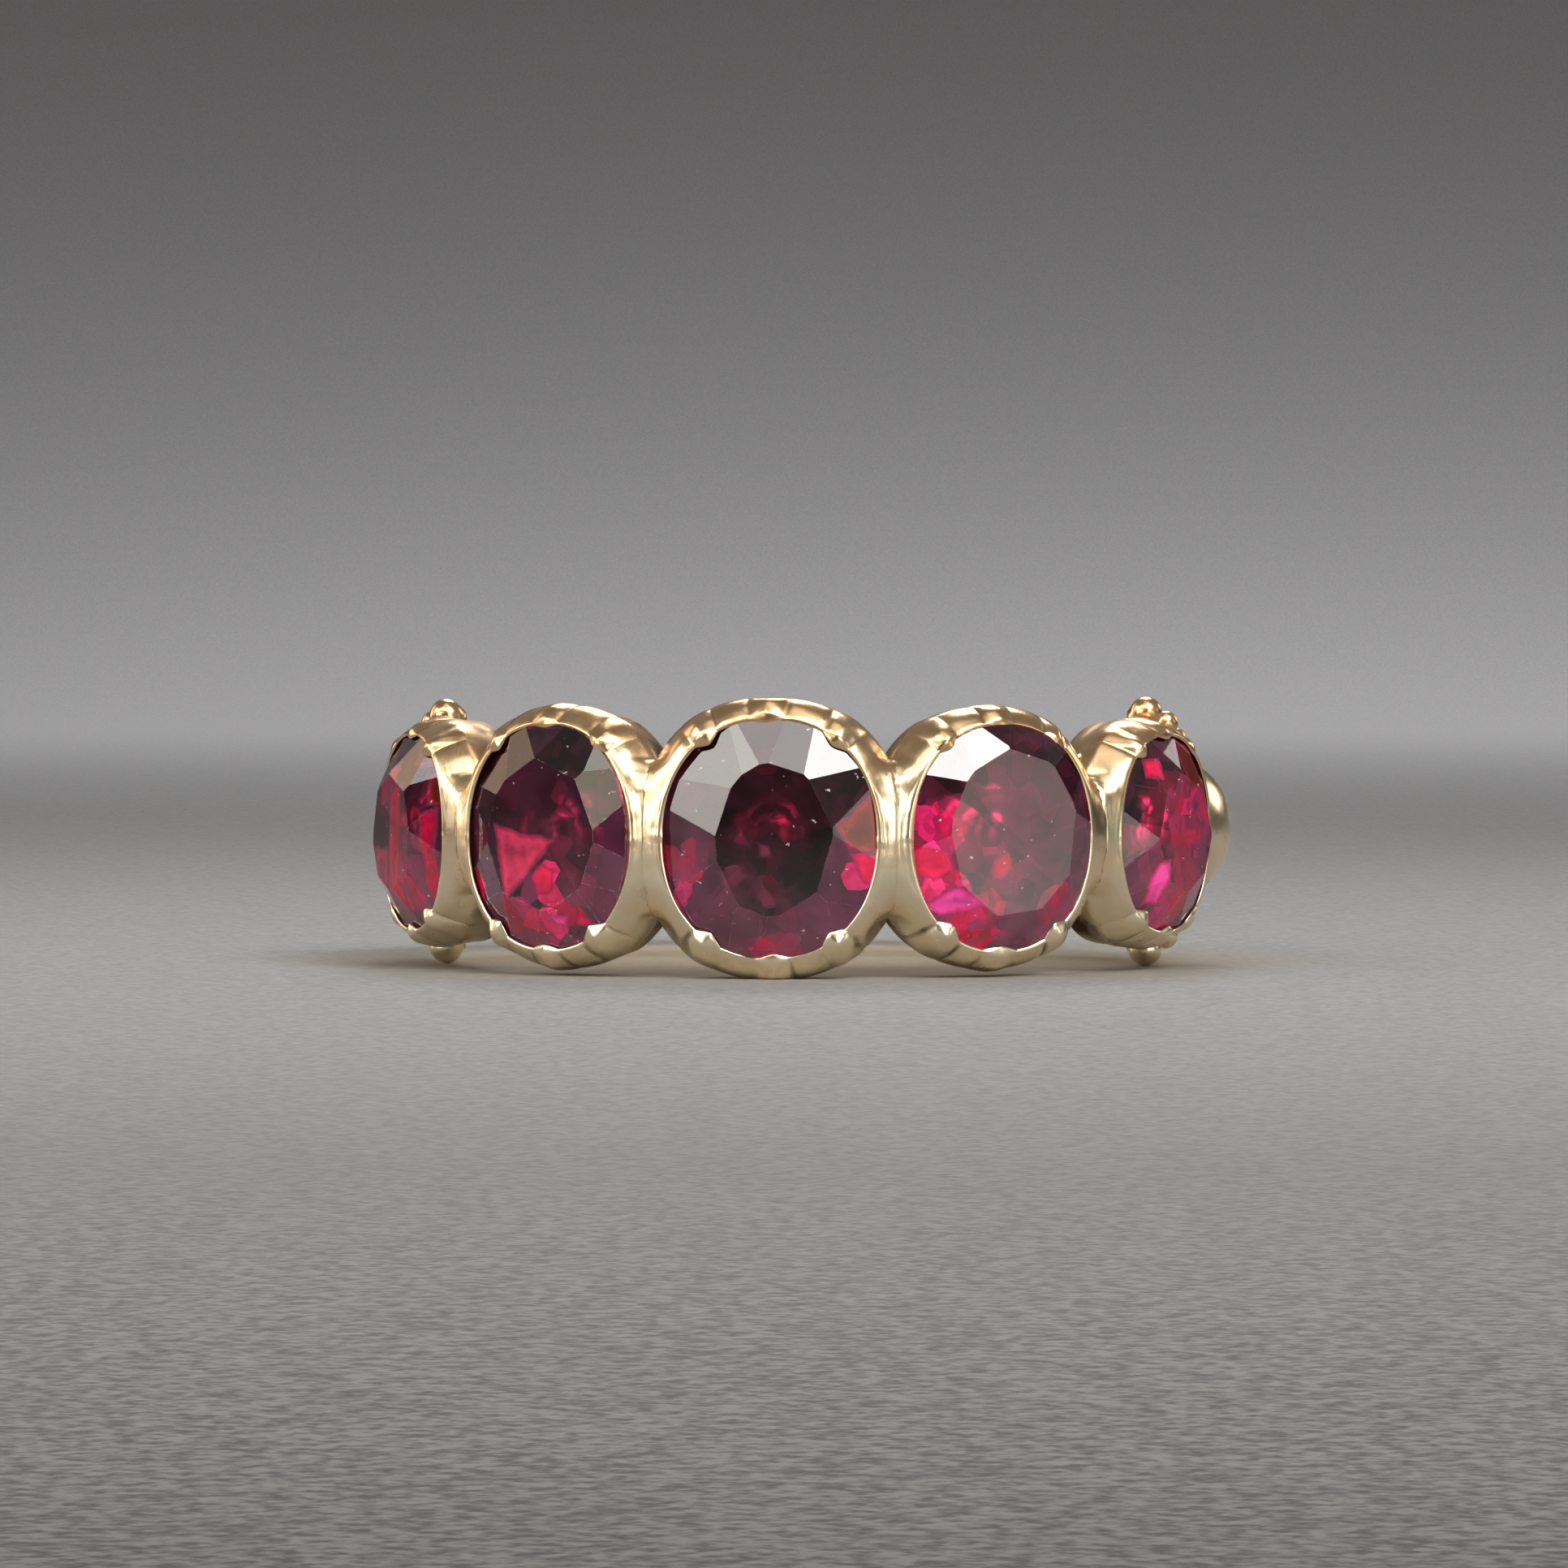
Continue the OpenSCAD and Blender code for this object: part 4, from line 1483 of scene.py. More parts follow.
@dataclass
class Stone:
    """An old hand cut garnet: a table, a crown of alternating triangles, and a deep pavilion.

    The crown's main facets have their point on a corner of the table and their base on the
    girdle, and the star facets between them have their base on the table and their point on the
    girdle. A facet is a plane: in a round stone of radius 1 it stands at a distance that changes
    evenly with height, and the stone's outline then stretches it.
    """

    seat: Seat
    seed: int
    cut: Cut
    star_z: float = 0.09
    half_part: float = 0.96
    # How near a broad angle a main facet has to face, in degrees, and how much deeper it is cut
    broad_reach: float = 12.0
    broad_depth: float = 0.035
    # Most that a crown facet is turned, in degrees, and that a star is shifted
    crown_turn: float = 2.5
    star_shift: float = 0.02
    # Least and most that a main facet's lean is changed on the crown, on the pavilion's upper
    # part and on its lower part
    crown_leans: tuple = (0.96, 1.05)
    upper_leans: tuple = (0.98, 1.05)
    lower_leans: tuple = (0.97, 1.03)
    # How far the pavilion is turned past the crown and most that a facet is turned on its upper
    # and lower part, in degrees, and the culet's shift
    pavilion_turns: tuple = (4, 14)
    upper_turn: float = 2.0
    lower_turn: float = 4.0
    culet_shift: float = 0.15
    # Haze of a facet that looks straight out, what it loses as the facet looks up, and the least
    # and most that it is multiplied by; a facet that looks down gets more, a painted reflection of the
    # floor
    haze_and_painted_veil: float = 0.25
    painted_veil_slope: float = 1.3
    haze_lots: tuple = (0.7, 1.1)
    girdle_steps: int = 60

    def tier(self, angles: Array, part: float, height: float, lean: float, up: int) -> list[list[float]]:
        """Planes at angles round the stone that pass a part of its outline at a height.

        Args:
            angles: where the planes face, in degrees.
            part: part of the outline that they pass.
            height: height on the seat at which they pass it.
            lean: part of the outline that they lose for each millimetre of height.
            up: 1 on the crown, -1 on the pavilion and 0 on the girdle.

        Returns:
            Rows of a normal and a distance.
        """
        turn = np.radians(angles)
        power = OVAL_POWER / (OVAL_POWER - 1)
        reach = (np.abs(np.cos(turn)) ** power + np.abs(np.sin(turn)) ** power) ** (1 / power)
        normal = np.stack(
            [np.cos(turn) / self.seat.half_w, np.sin(turn) / self.seat.half_h, up * lean * reach], axis=1
        )
        distance = reach * (part + up * lean * height)
        size = np.linalg.norm(normal, axis=1)
        return np.column_stack([normal / size[:, None], distance / size]).tolist()

    def growth(self, angle: float) -> float:
        """How much further than its slopes say the table reaches, as a part of the outline.

        Args:
            angle: angle round the stone, in degrees.

        Returns:
            The growth at that angle.
        """
        turn = math.radians(angle)
        across, up = self.cut.table_shift
        even = self.cut.table_grow - self.cut.table_tall * math.cos(2 * turn)
        return even + across * math.cos(turn) + up * math.sin(turn)

    def crown(self, rng: np.random.Generator) -> list[list[float]]:
        """Planes of the table, the main facets and the stars, each a little off its true place.

        Args:
            rng: draws how far off each one is.

        Returns:
            Rows of a normal and a distance.
        """
        step = 360 / self.cut.corners
        planes = [[0, 0, 1, CROWN_H]]
        lean = (1 - self.cut.table_part) / (CROWN_H - HALF_GIRDLE)
        for angle in self.cut.turn + step * np.arange(self.cut.corners):
            off, more = rng.uniform(-self.crown_turn, self.crown_turn), rng.uniform(*self.crown_leans)
            broad = any(abs(angle - middle) < self.broad_reach for middle in self.cut.broad)
            reach = 1.0 - self.broad_depth * broad + self.growth(angle)
            planes += self.tier(np.array([angle + off]), reach, HALF_GIRDLE, lean * more, 1)
        for angle, less in self.cut.halves:
            planes += self.tier(np.array([angle]), self.half_part, HALF_GIRDLE, lean * less, 1)
        edge = self.cut.table_part * math.cos(math.radians(step / 2))
        for angle in self.cut.turn + step * (0.5 + np.arange(self.cut.corners)):
            off = rng.uniform(-self.crown_turn, self.crown_turn)
            shift = rng.uniform(-self.star_shift, self.star_shift)
            lean = (1 - edge - shift) / (CROWN_H - self.star_z)
            reach = edge + shift + self.growth(angle)
            planes += self.tier(np.array([angle + off]), reach, CROWN_H, lean, 1)
        return planes

    def pavilion(self) -> Array:
        """Planes of the lower facets and of the deep mains, which meet in the culet.

        Returns:
            Rows of a normal and a distance.
        """
        rng = np.random.default_rng(SEED + STONE_SEED_STEP * self.seed + 1)
        step = 360 / self.cut.corners
        mains = self.cut.turn + rng.uniform(*self.pavilion_turns) + step * np.arange(self.cut.corners)
        culet = np.append(rng.uniform(-self.culet_shift, self.culet_shift, 2), pavilion_z(0))
        planes = []
        waist_drop = (1 - WAIST_PART) * PAVILION_H + WAIST_SAG
        for angle in np.concatenate([mains + step / 4, mains - step / 4]):
            lean = (1 - WAIST_PART) / waist_drop * rng.uniform(*self.upper_leans)
            off = rng.uniform(-self.upper_turn, self.upper_turn)
            planes += self.tier(np.array([angle + off]), 1.0, -HALF_GIRDLE, lean, -1)
        for angle in mains:
            lean = WAIST_PART / (PAVILION_H - waist_drop) * rng.uniform(*self.lower_leans)
            off = rng.uniform(-self.lower_turn, self.lower_turn)
            main = self.tier(np.array([angle + off]), 0.0, pavilion_z(0), lean, -1)[0]
            planes.append(main[:3] + [float(np.dot(main[:3], culet))])
        return np.array(planes)

    def underside(self, x: Array, y: Array) -> tuple[Array, Array]:
        """Height of the pavilion at places on the seat, the highest of its planes there.

        Args:
            x: places along the row of stones.
            y: places across it.

        Returns:
            The height, and the number of the facet, at each place.
        """
        planes = self.pavilion()
        over = planes[:, 0] * x[..., None] + planes[:, 1] * y[..., None]
        height = (planes[:, 3] - over) / planes[:, 2]
        return height.max(axis=-1), height.argmax(axis=-1)

    def mesh(self) -> Mesh:
        """Cuts the stone: girdle, crown and pavilion.

        The crown's facets are hazier the more they look down, a painted reflection of the floor, a little
        more or less each.

        Returns:
            The closed mesh, marked with the haze of its facets.
        """
        rng = np.random.default_rng(SEED + STONE_SEED_STEP * self.seed)
        girdle = 360 / self.girdle_steps * np.arange(self.girdle_steps)
        crown = np.array(self.crown(rng))
        planes = np.concatenate([self.tier(girdle, 1.0, 0.0, 0.0, 0), crown, self.pavilion()])
        corners, facets, kept = cut_solid(planes)
        # Painted reflection of the floor: facets that look down get more haze
        haze_and_painted_veil = np.clip(self.haze_and_painted_veil - self.painted_veil_slope * planes[:, 1], 0, 1)
        haze_and_painted_veil *= rng.uniform(*self.haze_lots, len(planes))
        haze_and_painted_veil[len(girdle)] = self.cut.table_haze
        haze_and_painted_veil[len(girdle) + len(crown) :] = 0
        return Mesh(self.seat.to_world(corners), facets, face_marks={"haze_and_painted_veil": haze_and_painted_veil[kept]})


@dataclass
class FoilCup:
    """Thin crinkled foil pressed up against a stone's facets, brighter where the stone has its painted
    glows.
    """

    stone: Stone
    facet_spread: float = 0.4
    gap: float = 0.025
    thick: float = 0.03
    # Where the cup's edge and the small hole in its bottom lie, as parts of the stone's outline
    edge_part: float = 0.93
    middle_part: float = 0.05
    outer_rows: int = 12
    inner_rows: int = 44
    columns: int = 192
    # Depth and size of the crinkles
    crinkles: tuple = (0.015, 0.45)
    most_shine: float = 1.3

    def mesh(self) -> Mesh:
        """Builds the cup: outside from the edge to the bottom, then back up inside.

        The height is the stone's underside less a small gap and a crinkle of soft noise. The
        shell's two ends close flat across the mouth, so that the foil also fills it as a lid.

        Returns:
            The closed mesh, marked with its shine.
        """
        seat, seed = self.stone.seat, self.stone.seed
        down = np.linspace(self.edge_part, self.middle_part, self.outer_rows)
        back = np.linspace(self.middle_part, self.edge_part, self.inner_rows)
        part = np.concatenate([down, back])[:, None]
        drop = np.where(np.arange(len(part)) < self.outer_rows, self.thick, 0.0)[:, None]
        angle = turns(self.columns)
        radius = part * seat.oval(angle)
        x, y = radius * np.cos(angle), radius * np.sin(angle)
        height, facet = self.stone.underside(x, y)
        place = np.stack([x, y, 0 * x], axis=-1)
        deep, wide = self.crinkles
        crinkle = np.abs(value_noise(place.reshape(-1, 3), wide, FOIL_SEED + seed)).reshape(x.shape)
        place[..., 2] = height - self.gap - deep * crinkle - drop
        rng = np.random.default_rng(SEED + FOIL_DRAW_SEED + seed)
        lot = rng.normal(0, self.facet_spread, facet.max() + 1)
        shine = self.stone.cut.shine + lot[facet]
        for across, up, size, strength in self.stone.cut.painted_glows:
            shine = shine + strength * np.exp(-(np.hypot(x - across, y - up) ** 2) / size**2)
        return closed_shell(seat.to_world(place), {"shine": np.clip(shine, 0, self.most_shine)})


# The ring

# Each stone's name, its angle round the finger, and half its width and height
SEATS = (
    Seat("outer_left", -63.96, 2.325, 2.45),
    Seat("inner_left", -31.98, 2.475, 2.775),
    Seat("center", 0.0, 2.625, 2.9),
    Seat("inner_right", 31.98, 2.475, 2.775),
    Seat("outer_right", 63.96, 2.325, 2.45),
)


@dataclass
class RingMount:
    """The gold: five collets, the bands between them, two shoulders and the hoop."""

    gold: bpy.types.Material
    # Angle from a stone's middle to where a band starts, in degrees
    cup_angle: float = 12.2
    collets: tuple = tuple(Collet(seat, COLLET_SEED + k) for k, seat in enumerate(SEATS))
    hoop: Hoop = field(default_factory=Hoop)

    def finished(self, mesh: Mesh, name: str) -> None:
        """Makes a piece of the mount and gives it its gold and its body.

        Args:
            mesh: mesh of the piece.
            name: name of the piece.
        """
        piece = mesh.made(name)
        piece.data.materials.append(self.gold)
        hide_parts("gold_mount")
        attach(piece, "root")
        log.info("%s: %d faces", name, len(piece.data.polygons))

    def build_collets(self, bands: Sequence[Band], shoulders: Sequence[Shoulder]) -> None:
        """Builds the collets, soldered to each other, to a band and thinly to a shoulder.

        Args:
            bands: the bands between them.
            shoulders: the left shoulder and the right one.
        """
        last = len(self.collets) - 1
        for k, collet in enumerate(self.collets):
            beside = [bands[0].outside]
            beside += [self.collets[n].outside for n in (k - 1, k + 1) if 0 <= n <= last]
            behind = {0: [shoulders[0].outside], last: [shoulders[1].outside]}.get(k, [])
            self.finished(collet.mesh(beside, behind), f"collet_{collet.seat.key}")

    def build_shoulder(self, shoulder: Shoulder, collet: Collet, seed: int) -> None:
        """Builds a shoulder, and its six beads as one piece.

        Args:
            shoulder: the shoulder.
            collet: the end collet beside it.
            seed: picks its dents and its patches of tarnish.
        """
        beads = shoulder.beads
        beside = [self.hoop.outside, collet.outside] + [bead.outside for bead in beads]
        self.finished(shoulder.mesh(beside, seed), f"shoulder_{shoulder.side.key}")
        row = None
        for n, bead in enumerate(beads):
            others = [other.outside for other in beads if other is not bead]
            ball = bead.mesh([shoulder.outside, collet.outside] + others, BEAD_SEED + n)
            row = ball if row is None else row.joined(ball)
        self.finished(row, f"beads_{shoulder.side.key}")

    def build(self) -> None:
        """Builds every piece, each soldered to the ones that it meets."""
        bands = [
            Band(left.angle + self.cup_angle, right.angle - self.cup_angle)
            for left, right in zip(SEATS[:-1], SEATS[1:])
        ]
        shoulders = [Shoulder(Side.LEFT, LEFT_BEADS), Shoulder(Side.RIGHT)]
        self.build_collets(bands, shoulders)
        for k, band in enumerate(bands):
            name = f"band_{SEATS[k].key}_to_{SEATS[k + 1].key}"
            beside = [collet.outside for collet in self.collets[k : k + 2]]
            self.finished(band.mesh(beside, BAND_SEED + k), name)
        ends = (self.collets[0], self.collets[-1])
        for k, (shoulder, collet) in enumerate(zip(shoulders, ends)):
            self.build_shoulder(shoulder, collet, SHOULDER_SEED + 5 * k)
        self.finished(self.hoop.mesh([shoulder.outside for shoulder in shoulders]), "hoop")


# Colours of the painted shards of light in the stones
BRICK = (0.30, 0.022, 0.008, 1)
CRIMSON = (0.92, 0.006, 0.08, 1)
ROSE = (1.0, 0.05, 0.16, 1)
MAGENTA = (1.0, 0.06, 0.40, 1)

CUTS = {
    "outer_left": Cut(
        shine=0.3,
        painted_glows=((0.6, -1.2, 1.0, 0.35), (0.0, 1.0, 0.8, 0.3)),
        painted_shards=(
            (0.55, CRIMSON, (0.75, 1.2), (-0.05, 1.0), (-0.15, -1.5), (0.55, -1.9)),
            (0.40, CRIMSON, (2.1, 0.6), (1.65, 0.5), (1.6, -1.7), (2.0, -1.6)),
            (0.35, ROSE, (-0.2, -0.4), (-1.2, -0.4), (-1.0, -1.6), (-0.2, -1.9)),
            (0.60, BRICK, (2.3, 1.75), (1.5, 2.3), (0.9, 2.2), (0.9, 1.7)),
            (0.45, BRICK, (2.5, 1.6), (1.7, 1.5), (1.8, 0.7), (2.4, 0.7)),
        ),
    ),
    "inner_left": Cut(
        turn=3.0,
        broad=(138,),
        table_part=0.64,
        table_grow=0.03,
        table_shift=(0.07, 0.02),
        table_haze=0.1,
        shine=0.0,
        painted_glows=(
            (0.3, -1.1, 0.6, 0.7),
            (-0.5, -2.1, 0.6, 0.5),
            (0.4, -2.2, 0.6, 0.8),
            (1.0, -1.7, 0.5, 0.5),
            (-2.2, -1.2, 0.4, 0.9),
            (0.2, 1.2, 2.0, -0.9),
        ),
        painted_shards=(
            (0.75, ROSE, (0.62, -0.09), (-1.22, 0.30), (-0.91, -1.60)),
            (0.9, CRIMSON, (0.62, -0.80), (0.25, -0.62), (-0.05, -0.95), (0.15, -1.40), (0.55, -1.30)),
            (1.0, CRIMSON, (1.24, -1.65), (1.02, -2.10), (1.50, -2.15)),
            (1.0, MAGENTA, (0.97, -1.85), (0.37, -2.05), (0.82, -2.25)),
        ),
    ),
    "center": Cut(
        turn=5.0,
        broad=(50, 140),
        halves=((147, 0.95), (159, 0.92)),
        table_part=0.58,
        table_grow=0.022,
        table_tall=0.05,
        table_shift=(0.05, 0.0),
        table_haze=0.0,
        shine=-0.3,
        density=850.0,
        painted_glows=(
            (-2.1, -0.7, 0.7, 0.3),
            (-2.2, -1.7, 0.45, 0.9),
            (2.4, -0.75, 0.45, 0.7),
            (0.0, -2.6, 0.6, 0.25),
            (-0.55, -1.25, 0.7, 0.12),
            (0.0, 0.4, 2.0, -1.2),
        ),
        painted_shards=(
            (0.25, CRIMSON, (0.00, -0.14), (-0.20, -0.12), (-0.18, -0.38), (0.02, -0.35)),
            (0.75, BRICK, (2.75, 1.25), (1.65, 0.40), (1.98, -0.30), (2.75, -0.30)),
            (1.0, CRIMSON, (2.75, -0.36), (1.98, -0.36), (2.45, -1.20)),
            (0.9, CRIMSON, (-1.85, -2.15), (-2.1, -2.2), (-2.6, -1.3), (-2.35, -1.35)),
        ),
    ),
    "inner_right": Cut(
        corners=9,
        turn=15.0,
        broad=(135,),
        table_part=0.66,
        table_grow=0.06,
        table_tall=0.02,
        table_shift=(0.01, 0.04),
        table_haze=0.2,
        shine=0.2,
        painted_glows=(
            (-2.2, 0.5, 0.65, 0.65),
            (-2.1, -0.5, 0.7, 1.0),
            (-2.0, -1.2, 0.6, 0.8),
            (-0.8, -2.1, 0.9, 0.6),
            (-0.4, -0.7, 0.5, 0.4),
            (1.4, -1.8, 0.7, 0.3),
            (1.0, 1.6, 1.4, -0.6),
        ),
        painted_shards=(
            (1.0, MAGENTA, (-0.66, -1.66), (-1.50, -1.12), (-2.18, -1.60), (-1.80, -1.89)),
            (1.0, CRIMSON, (-1.75, -0.30), (-2.50, -0.15), (-2.40, -0.80), (-2.00, -1.05), (-1.65, -0.75)),
            (0.6, CRIMSON, (-0.15, -0.35), (-0.50, -0.45), (-0.62, -0.85), (-0.30, -1.00), (-0.05, -0.70)),
        ),
    ),
    "outer_right": Cut(
        shine=0.4,
        painted_glows=((0.3, 0.2, 1.2, 0.5), (0.2, -1.2, 0.9, 0.5), (-0.6, -2.0, 0.6, 0.6)),
        painted_shards=(
            (1.0, MAGENTA, (-0.77, -0.60), (-1.30, -0.70), (-1.50, -1.70), (-1.00, -1.75)),
            (0.9, CRIMSON, (-0.80, 1.90), (-1.30, 1.85), (-1.40, 1.45), (-0.90, 1.40)),
            (0.5, BRICK, (1.40, 1.00), (1.20, 2.10), (0.20, 2.30), (0.00, 1.20)),
        ),
    ),
}


@dataclass
class FoiledStones:
    """The five garnets and the foils under them."""

    foil: bpy.types.Material
    # Height of the painted glows over the girdles, and how chipped the worn edges are
    glow_z: float = 0.4
    edge_chips: float = 0.22
    # Width of the worn edges, and the least angle between two facets whose edge is worn
    wear: float = 0.02
    wear_angle: float = 9.0

    def edges(self, seat: Seat, corners: Sequence[tuple]) -> tuple:
        """Planes through the sides of a polygon that stands on a seat.

        Args:
            seat: the seat.
            corners: corners of the polygon on it, going round against the clock.

        Returns:
            For each side, a normal that looks in and a distance.
        """
        points = np.array(corners)
        sides = np.roll(points, -1, axis=0) - points
        normals = np.stack([-sides[:, 1], sides[:, 0]], axis=1) / np.linalg.norm(sides, axis=1)[:, None]
        ways = normals @ seat.axes[:2]
        origin = seat.to_world(np.zeros(3))
        distances = np.sum(points * normals, axis=1) + ways @ origin
        return tuple((way.tolist(), float(distance)) for way, distance in zip(ways, distances))

    def shade(self, seat: Seat) -> bpy.types.Material:
        """The garnet of one stone, with its painted glows and painted shards at their places on the ring.

        Args:
            seat: the stone's seat.

        Returns:
            The material.
        """
        cut = CUTS[seat.key]
        painted_glows = tuple(
            (seat.to_world(np.array([across, up, self.glow_z])).tolist(), size, strength)
            for across, up, size, strength in cut.painted_glows
            if strength > 0
        )
        painted_shards = tuple((self.edges(seat, corners), strength, hue) for strength, hue, *corners in cut.painted_shards)
        return Garnet(f"garnet_{seat.key}", painted_glows, painted_shards, density=cut.density).made()

    def build_stone(self, stone: Stone) -> None:
        """Builds a stone, whose worn edges have a finish of their own.

        Args:
            stone: the stone.
        """
        key = stone.seat.key
        piece = stone.mesh().made(f"stone_{key}", smooth=False)
        worn = piece.modifiers.new("worn_edges", "BEVEL")
        worn.width = self.wear * MM
        worn.segments = 1
        worn.limit_method = "ANGLE"
        worn.angle_limit = math.radians(self.wear_angle)
        piece.data.materials.append(self.shade(stone.seat))
        piece.data.materials.append(Garnet(f"garnet_edge_{key}", chips=self.edge_chips).made())
        worn.material = 1
        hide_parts(f"garnet_{key}")
        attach(piece, "root")
        log.info("stone_%s: %d facets", key, len(piece.data.polygons))

    def build_foil(self, stone: Stone) -> None:
        """Builds the foil cup under a stone.

        Args:
            stone: the stone.
        """
        key = stone.seat.key
        cup = FoilCup(stone).mesh().made(f"foil_cup_{key}")
        cup.data.materials.append(self.foil)
        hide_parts(f"foil_{key}")
        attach(cup, "root")
        log.info("foil_cup_%s: %d faces", key, len(cup.data.polygons))

    def build(self) -> None:
        """Builds each stone with its foil."""
        for k, seat in enumerate(SEATS):
            stone = Stone(seat, k, CUTS[seat.key])
            self.build_stone(stone)
            self.build_foil(stone)


# Studio

NEAR_WHITE = (1.0, 0.99, 0.97)


@dataclass(frozen=True)
class Softbox:
    """A round soft light: its direction, distance and half width in degrees, seen from its target.

    A grid on it keeps the light within some degrees of its axis.
    """

    name: str
    direction: tuple
    distance: float
    half_angle: float
    brightness: float
    colour: tuple = (1.0, 1.0, 1.0)
    target: tuple = (0.0, 0.0, 0.0)
    grid: float = 25.0

    def build(self) -> None:
        """Makes the light, facing its target, out of the camera's sight."""
        light = bpy.data.lights.new(self.name, "AREA")
        light.shape = "DISK"
        light.size = 2 * self.distance * math.tan(math.radians(self.half_angle)) * MM
        grid = math.radians(self.grid)
        light.spread = 2 * grid
        light.energy = self.brightness * (math.pi * light.size) ** 2 / 4 * (1 - grid / math.tan(grid))
        light.color = self.colour
        lamp = bpy.data.objects.new(self.name, light)
        way = Vector(self.direction).normalized()
        lamp.location = (Vector(self.target) + way * self.distance) * MM
        lamp.rotation_euler = way.to_track_quat("Z", "Y").to_euler()
        lamp.visible_camera = False
        bpy.context.scene.collection.objects.link(lamp)


@dataclass
class Studio:
    """Floor, lights, surroundings and camera."""

    # The camera's place round the ring, and the pixel of the frame where the ring's middle falls
    azimuth: float = 4.3
    elevation: float = 1.2
    distance: float = 200.0
    lens: float = 178.9
    sensor: float = 36.0
    frame_px: float = 1932.0
    ring_px: tuple = (987.0, 1020.0)
    px_per_mm: float = 48.0
    # The floor's first ring of points, its flat radius, its whole radius and how high it rises
    first_r: float = 5.0
    flat_r: float = 430.0
    floor_r: float = 1500.0
    floor_rise: float = 420.0
    # Rings of points on the flat part and on the rising one, the step between them, and columns
    flat_rows: int = 30
    rising_rows: int = 40
    row_step: float = 20.0
    columns: int = 120
    # Colours of the room low down, high up and behind the camera
    room_low: tuple = (0.25, 0.24, 0.225, 1)
    room_high: tuple = (0.20, 0.195, 0.19, 1)
    room_front: tuple = (0.05, 0.045, 0.045, 1)
    # Heights between which the room changes, and how far behind the camera it darkens
    room_heights: tuple = (0.0, 0.9)
    front_from: tuple = (-0.75, -0.95)
    front_part: float = 0.8
    softboxes: tuple = (
        Softbox("key", (0.45, -0.56, 0.70), 260, 17.5, 17.5, NEAR_WHITE),
        Softbox("overhead", (0.1, -0.2, 0.97), 280, 16.0, 1.2, NEAR_WHITE),
        Softbox("back_high", (0.02, 0.60, 0.80), 280, 9.0, 6.0, NEAR_WHITE),
        Softbox("front_left", (-0.60, -0.77, 0.20), 280, 11.0, 4.5, NEAR_WHITE),
        Softbox("front_right", (0.48, -0.86, 0.17), 280, 11.0, 4.5, NEAR_WHITE),
        Softbox("side_left", (-0.98, 0.00, 0.20), 280, 10.0, 1.2, (1.0, 0.99, 0.96)),
        Softbox("left_high", (-0.88, -0.13, 0.46), 280, 10.0, 5.0, NEAR_WHITE),
        Softbox("side_right", (0.98, 0.03, 0.20), 280, 10.0, 0.9, (1.0, 0.99, 0.96)),
        Softbox("back_left", (-0.90, 0.41, 0.10), 280, 10.0, 3.0, (1.0, 0.88, 0.74)),
        Softbox("left_far", (-0.80, 0.47, 0.34), 280, 14.0, 1.9, (1.0, 0.70, 0.46)),
        Softbox("back_right", (0.66, 0.69, 0.30), 280, 10.0, 3.2, (1.0, 0.95, 0.88)),
        Softbox("top", (-0.46, -0.60, 0.66), 280, 8.5, 6.6, (0.97, 1.0, 0.90)),
        Softbox("top_rosy", (-0.17, -0.55, 0.82), 280, 7.5, 4.0, (1.0, 0.93, 0.90)),
        Softbox("left", (-0.75, -0.45, 0.48), 280, 8.0, 5.8, (1.0, 1.0, 0.90)),
        Softbox("left_low", (-0.84, -0.52, 0.16), 280, 8.0, 5.0, (1.0, 0.96, 0.88)),
        Softbox("front_high", (-0.30, -0.72, 0.63), 280, 5.0, 4.0, (1.0, 1.0, 0.85)),
        Softbox("front_top", (-0.01, -0.75, 0.66), 280, 5.5, 14.0, NEAR_WHITE),
        Softbox("front_grey", (0.20, -0.65, 0.73), 280, 5.5, 4.5, (1.0, 0.97, 0.95)),
        Softbox("front_low", (-0.28, -0.90, 0.34), 280, 6.0, 2.4, (1.0, 0.93, 0.70)),
        Softbox("right", (0.835, -0.545, 0.03), 45, 12.0, 1.3, (0.94, 1.0, 0.84), grid=45.0),
        Softbox("backdrop", (0, -0.25, 0.97), 340, 20.0, 12.5, target=(0, 520, 0), grid=89.0),
    )

    def floor(self) -> None:
        """Makes the floor: flat near the ring, and rising with the square of the way out past it."""
        flat = np.geomspace(self.first_r, self.flat_r, self.flat_rows)
        rising = np.linspace(self.flat_r + self.row_step, self.floor_r, self.rising_rows)
        radius = np.concatenate([[0.0], flat, rising])[:, None]
        turn = turns(self.columns)
        past = np.clip(radius - self.flat_r, 0, None) / (self.floor_r - self.flat_r)
        height = self.floor_rise * past**2 - REST_Z + 0 * turn
        grid = np.stack([radius * np.cos(turn), radius * np.sin(turn), height], axis=-1)
        rows, columns = grid.shape[:2]
        here = np.arange(rows * columns).reshape(rows, columns)
        beside = np.roll(here, -1, axis=1)
        faces = np.stack([here[:-1], here[1:], beside[1:], beside[:-1]], axis=-1).reshape(-1, 4)
        floor = Mesh(grid.reshape(-1, 3), faces.tolist()).made("floor")
        floor.data.materials.append(PaleFloor().made())

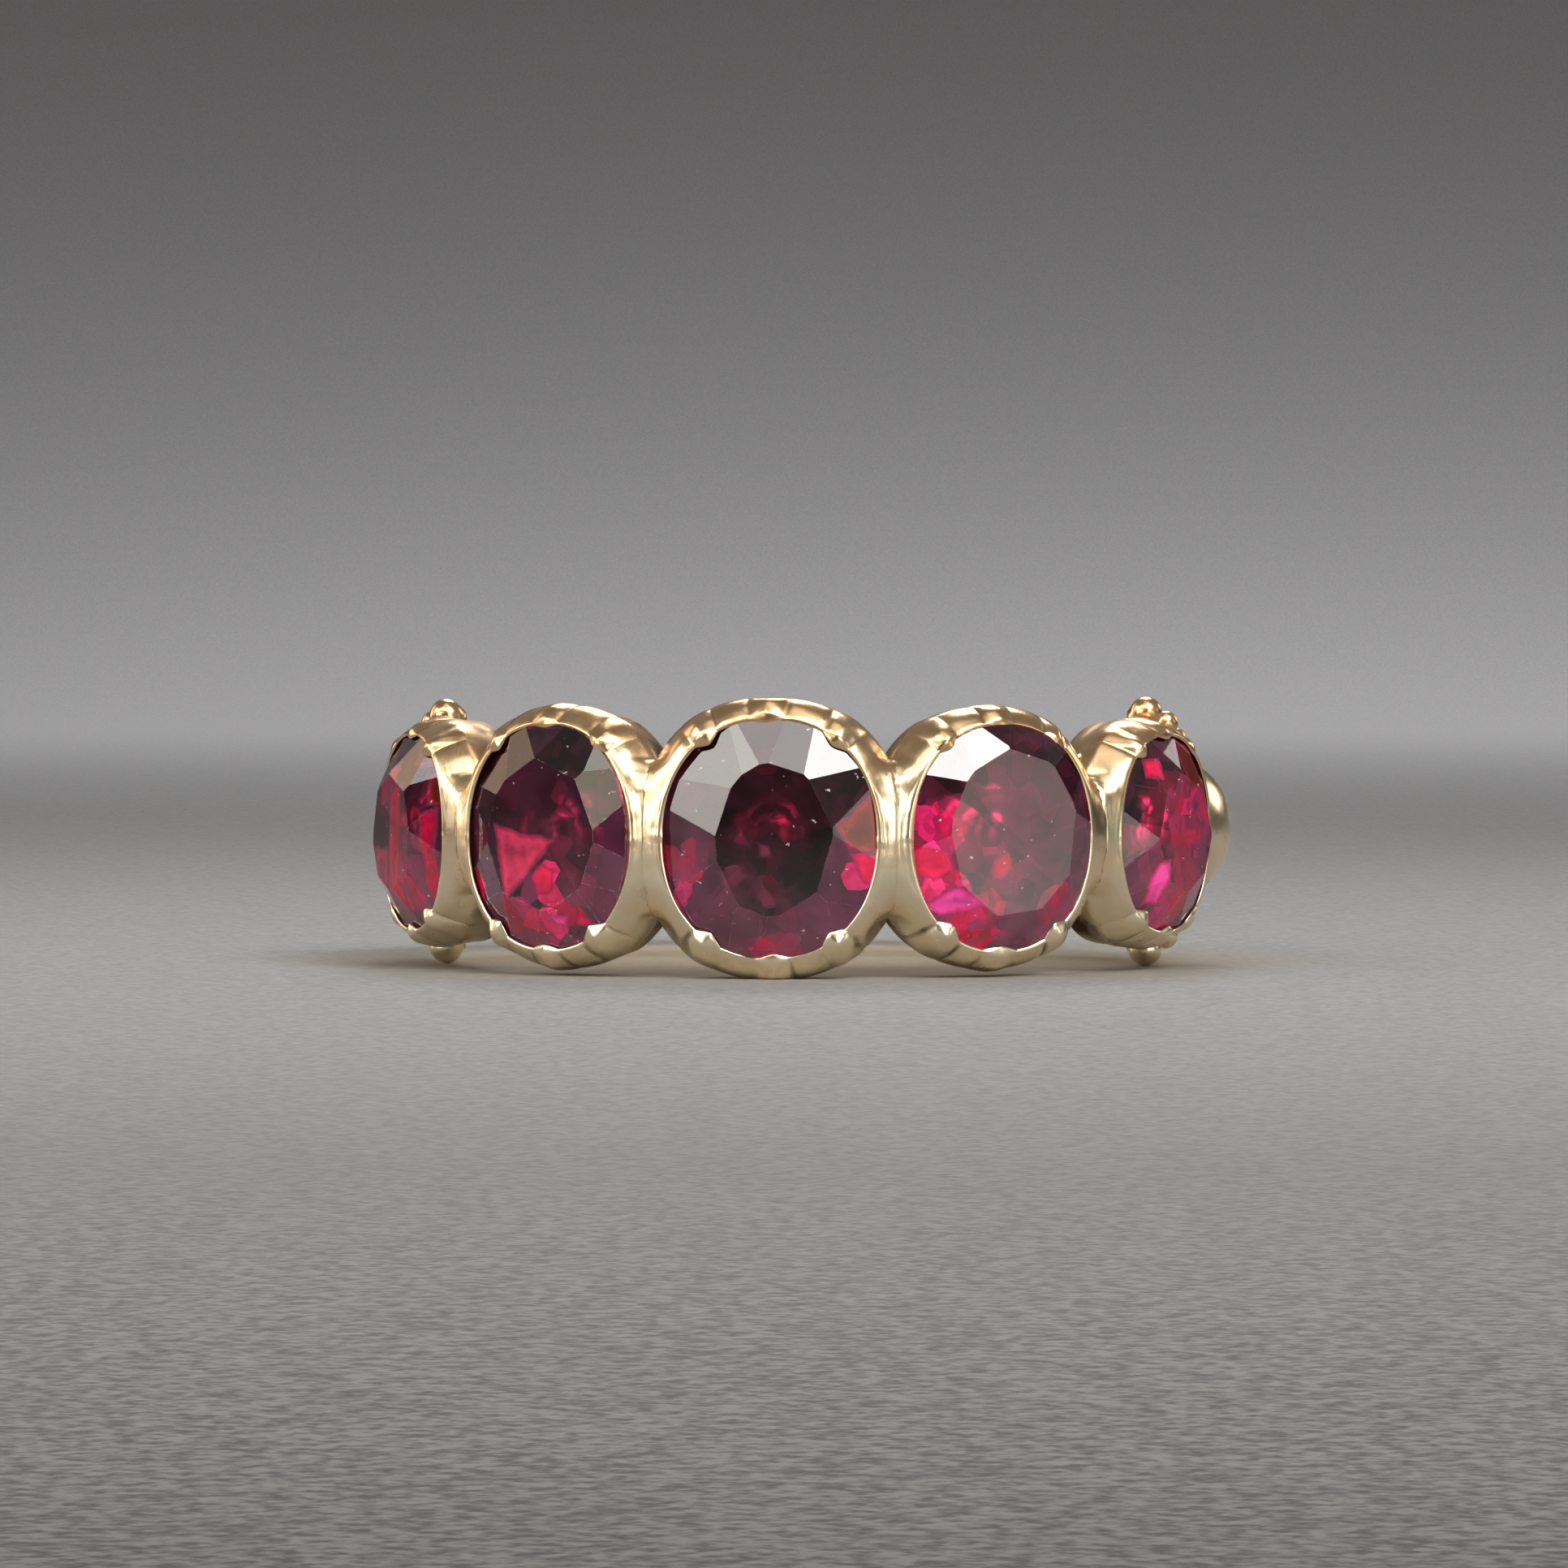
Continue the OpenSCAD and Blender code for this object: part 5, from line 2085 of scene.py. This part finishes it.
    def surroundings(self) -> None:
        """A soft grey room: brighter above, and dark behind the camera."""
        world = bpy.data.worlds.new("soft_room")
        bpy.context.scene.world = world
        world.use_nodes = True
        nodes = Nodes(world.node_tree)
        background = next(n for n in world.node_tree.nodes if n.type == "BACKGROUND")
        way = nodes.add("ShaderNodeTexCoord").outputs["Generated"]
        axes = nodes.add("ShaderNodeSeparateXYZ", {0: way}).outputs
        high = nodes.ramp(axes["Z"], *self.room_heights)
        colour = nodes.blend(high, self.room_low, self.room_high)
        front = nodes.times(nodes.ramp(axes["Y"], *self.front_from), self.front_part)
        nodes.feed(background, "Color", nodes.blend(front, colour, self.room_front))
        background.inputs["Strength"].default_value = 1.0

    def camera(self) -> None:
        """Places the camera so that the middle of the ring falls on its pixel."""
        side, up = math.radians(self.azimuth), math.radians(self.elevation)
        back = Vector((math.sin(side) * math.cos(up), -math.cos(side) * math.cos(up), math.sin(up)))
        right = Vector((math.cos(side), math.sin(side), 0))
        above = back.cross(right)
        half = self.frame_px / 2
        aim = (right * (half - self.ring_px[0]) + above * (self.ring_px[1] - half)) / self.px_per_mm
        data = bpy.data.cameras.new("camera")
        data.lens = self.lens
        data.sensor_width = self.sensor
        data.clip_start, data.clip_end = 0.01, 10.0
        camera = bpy.data.objects.new("camera", data)
        camera.location = (aim + back * self.distance) * MM
        camera.rotation_mode = "QUATERNION"
        camera.rotation_quaternion = back.to_track_quat("Z", "Y")
        bpy.context.scene.collection.objects.link(camera)
        bpy.context.scene.camera = camera

    def build(self) -> None:
        """Makes the whole studio."""
        bpy.context.scene.view_settings.view_transform = "Standard"
        self.camera()
        self.floor()
        self.surroundings()
        for softbox in self.softboxes:
            softbox.build()


def write_sizes() -> None:
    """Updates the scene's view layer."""
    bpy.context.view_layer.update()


def main() -> None:
    """Builds the studio, the mount and the stones."""
    logging.basicConfig(level=logging.INFO, format="%(name)s: %(message)s")
    Studio().build()
    RingMount(OldGold().made()).build()
    FoiledStones(RedFoil().made()).build()
    write_sizes()


if __name__ == "__main__":
    main()
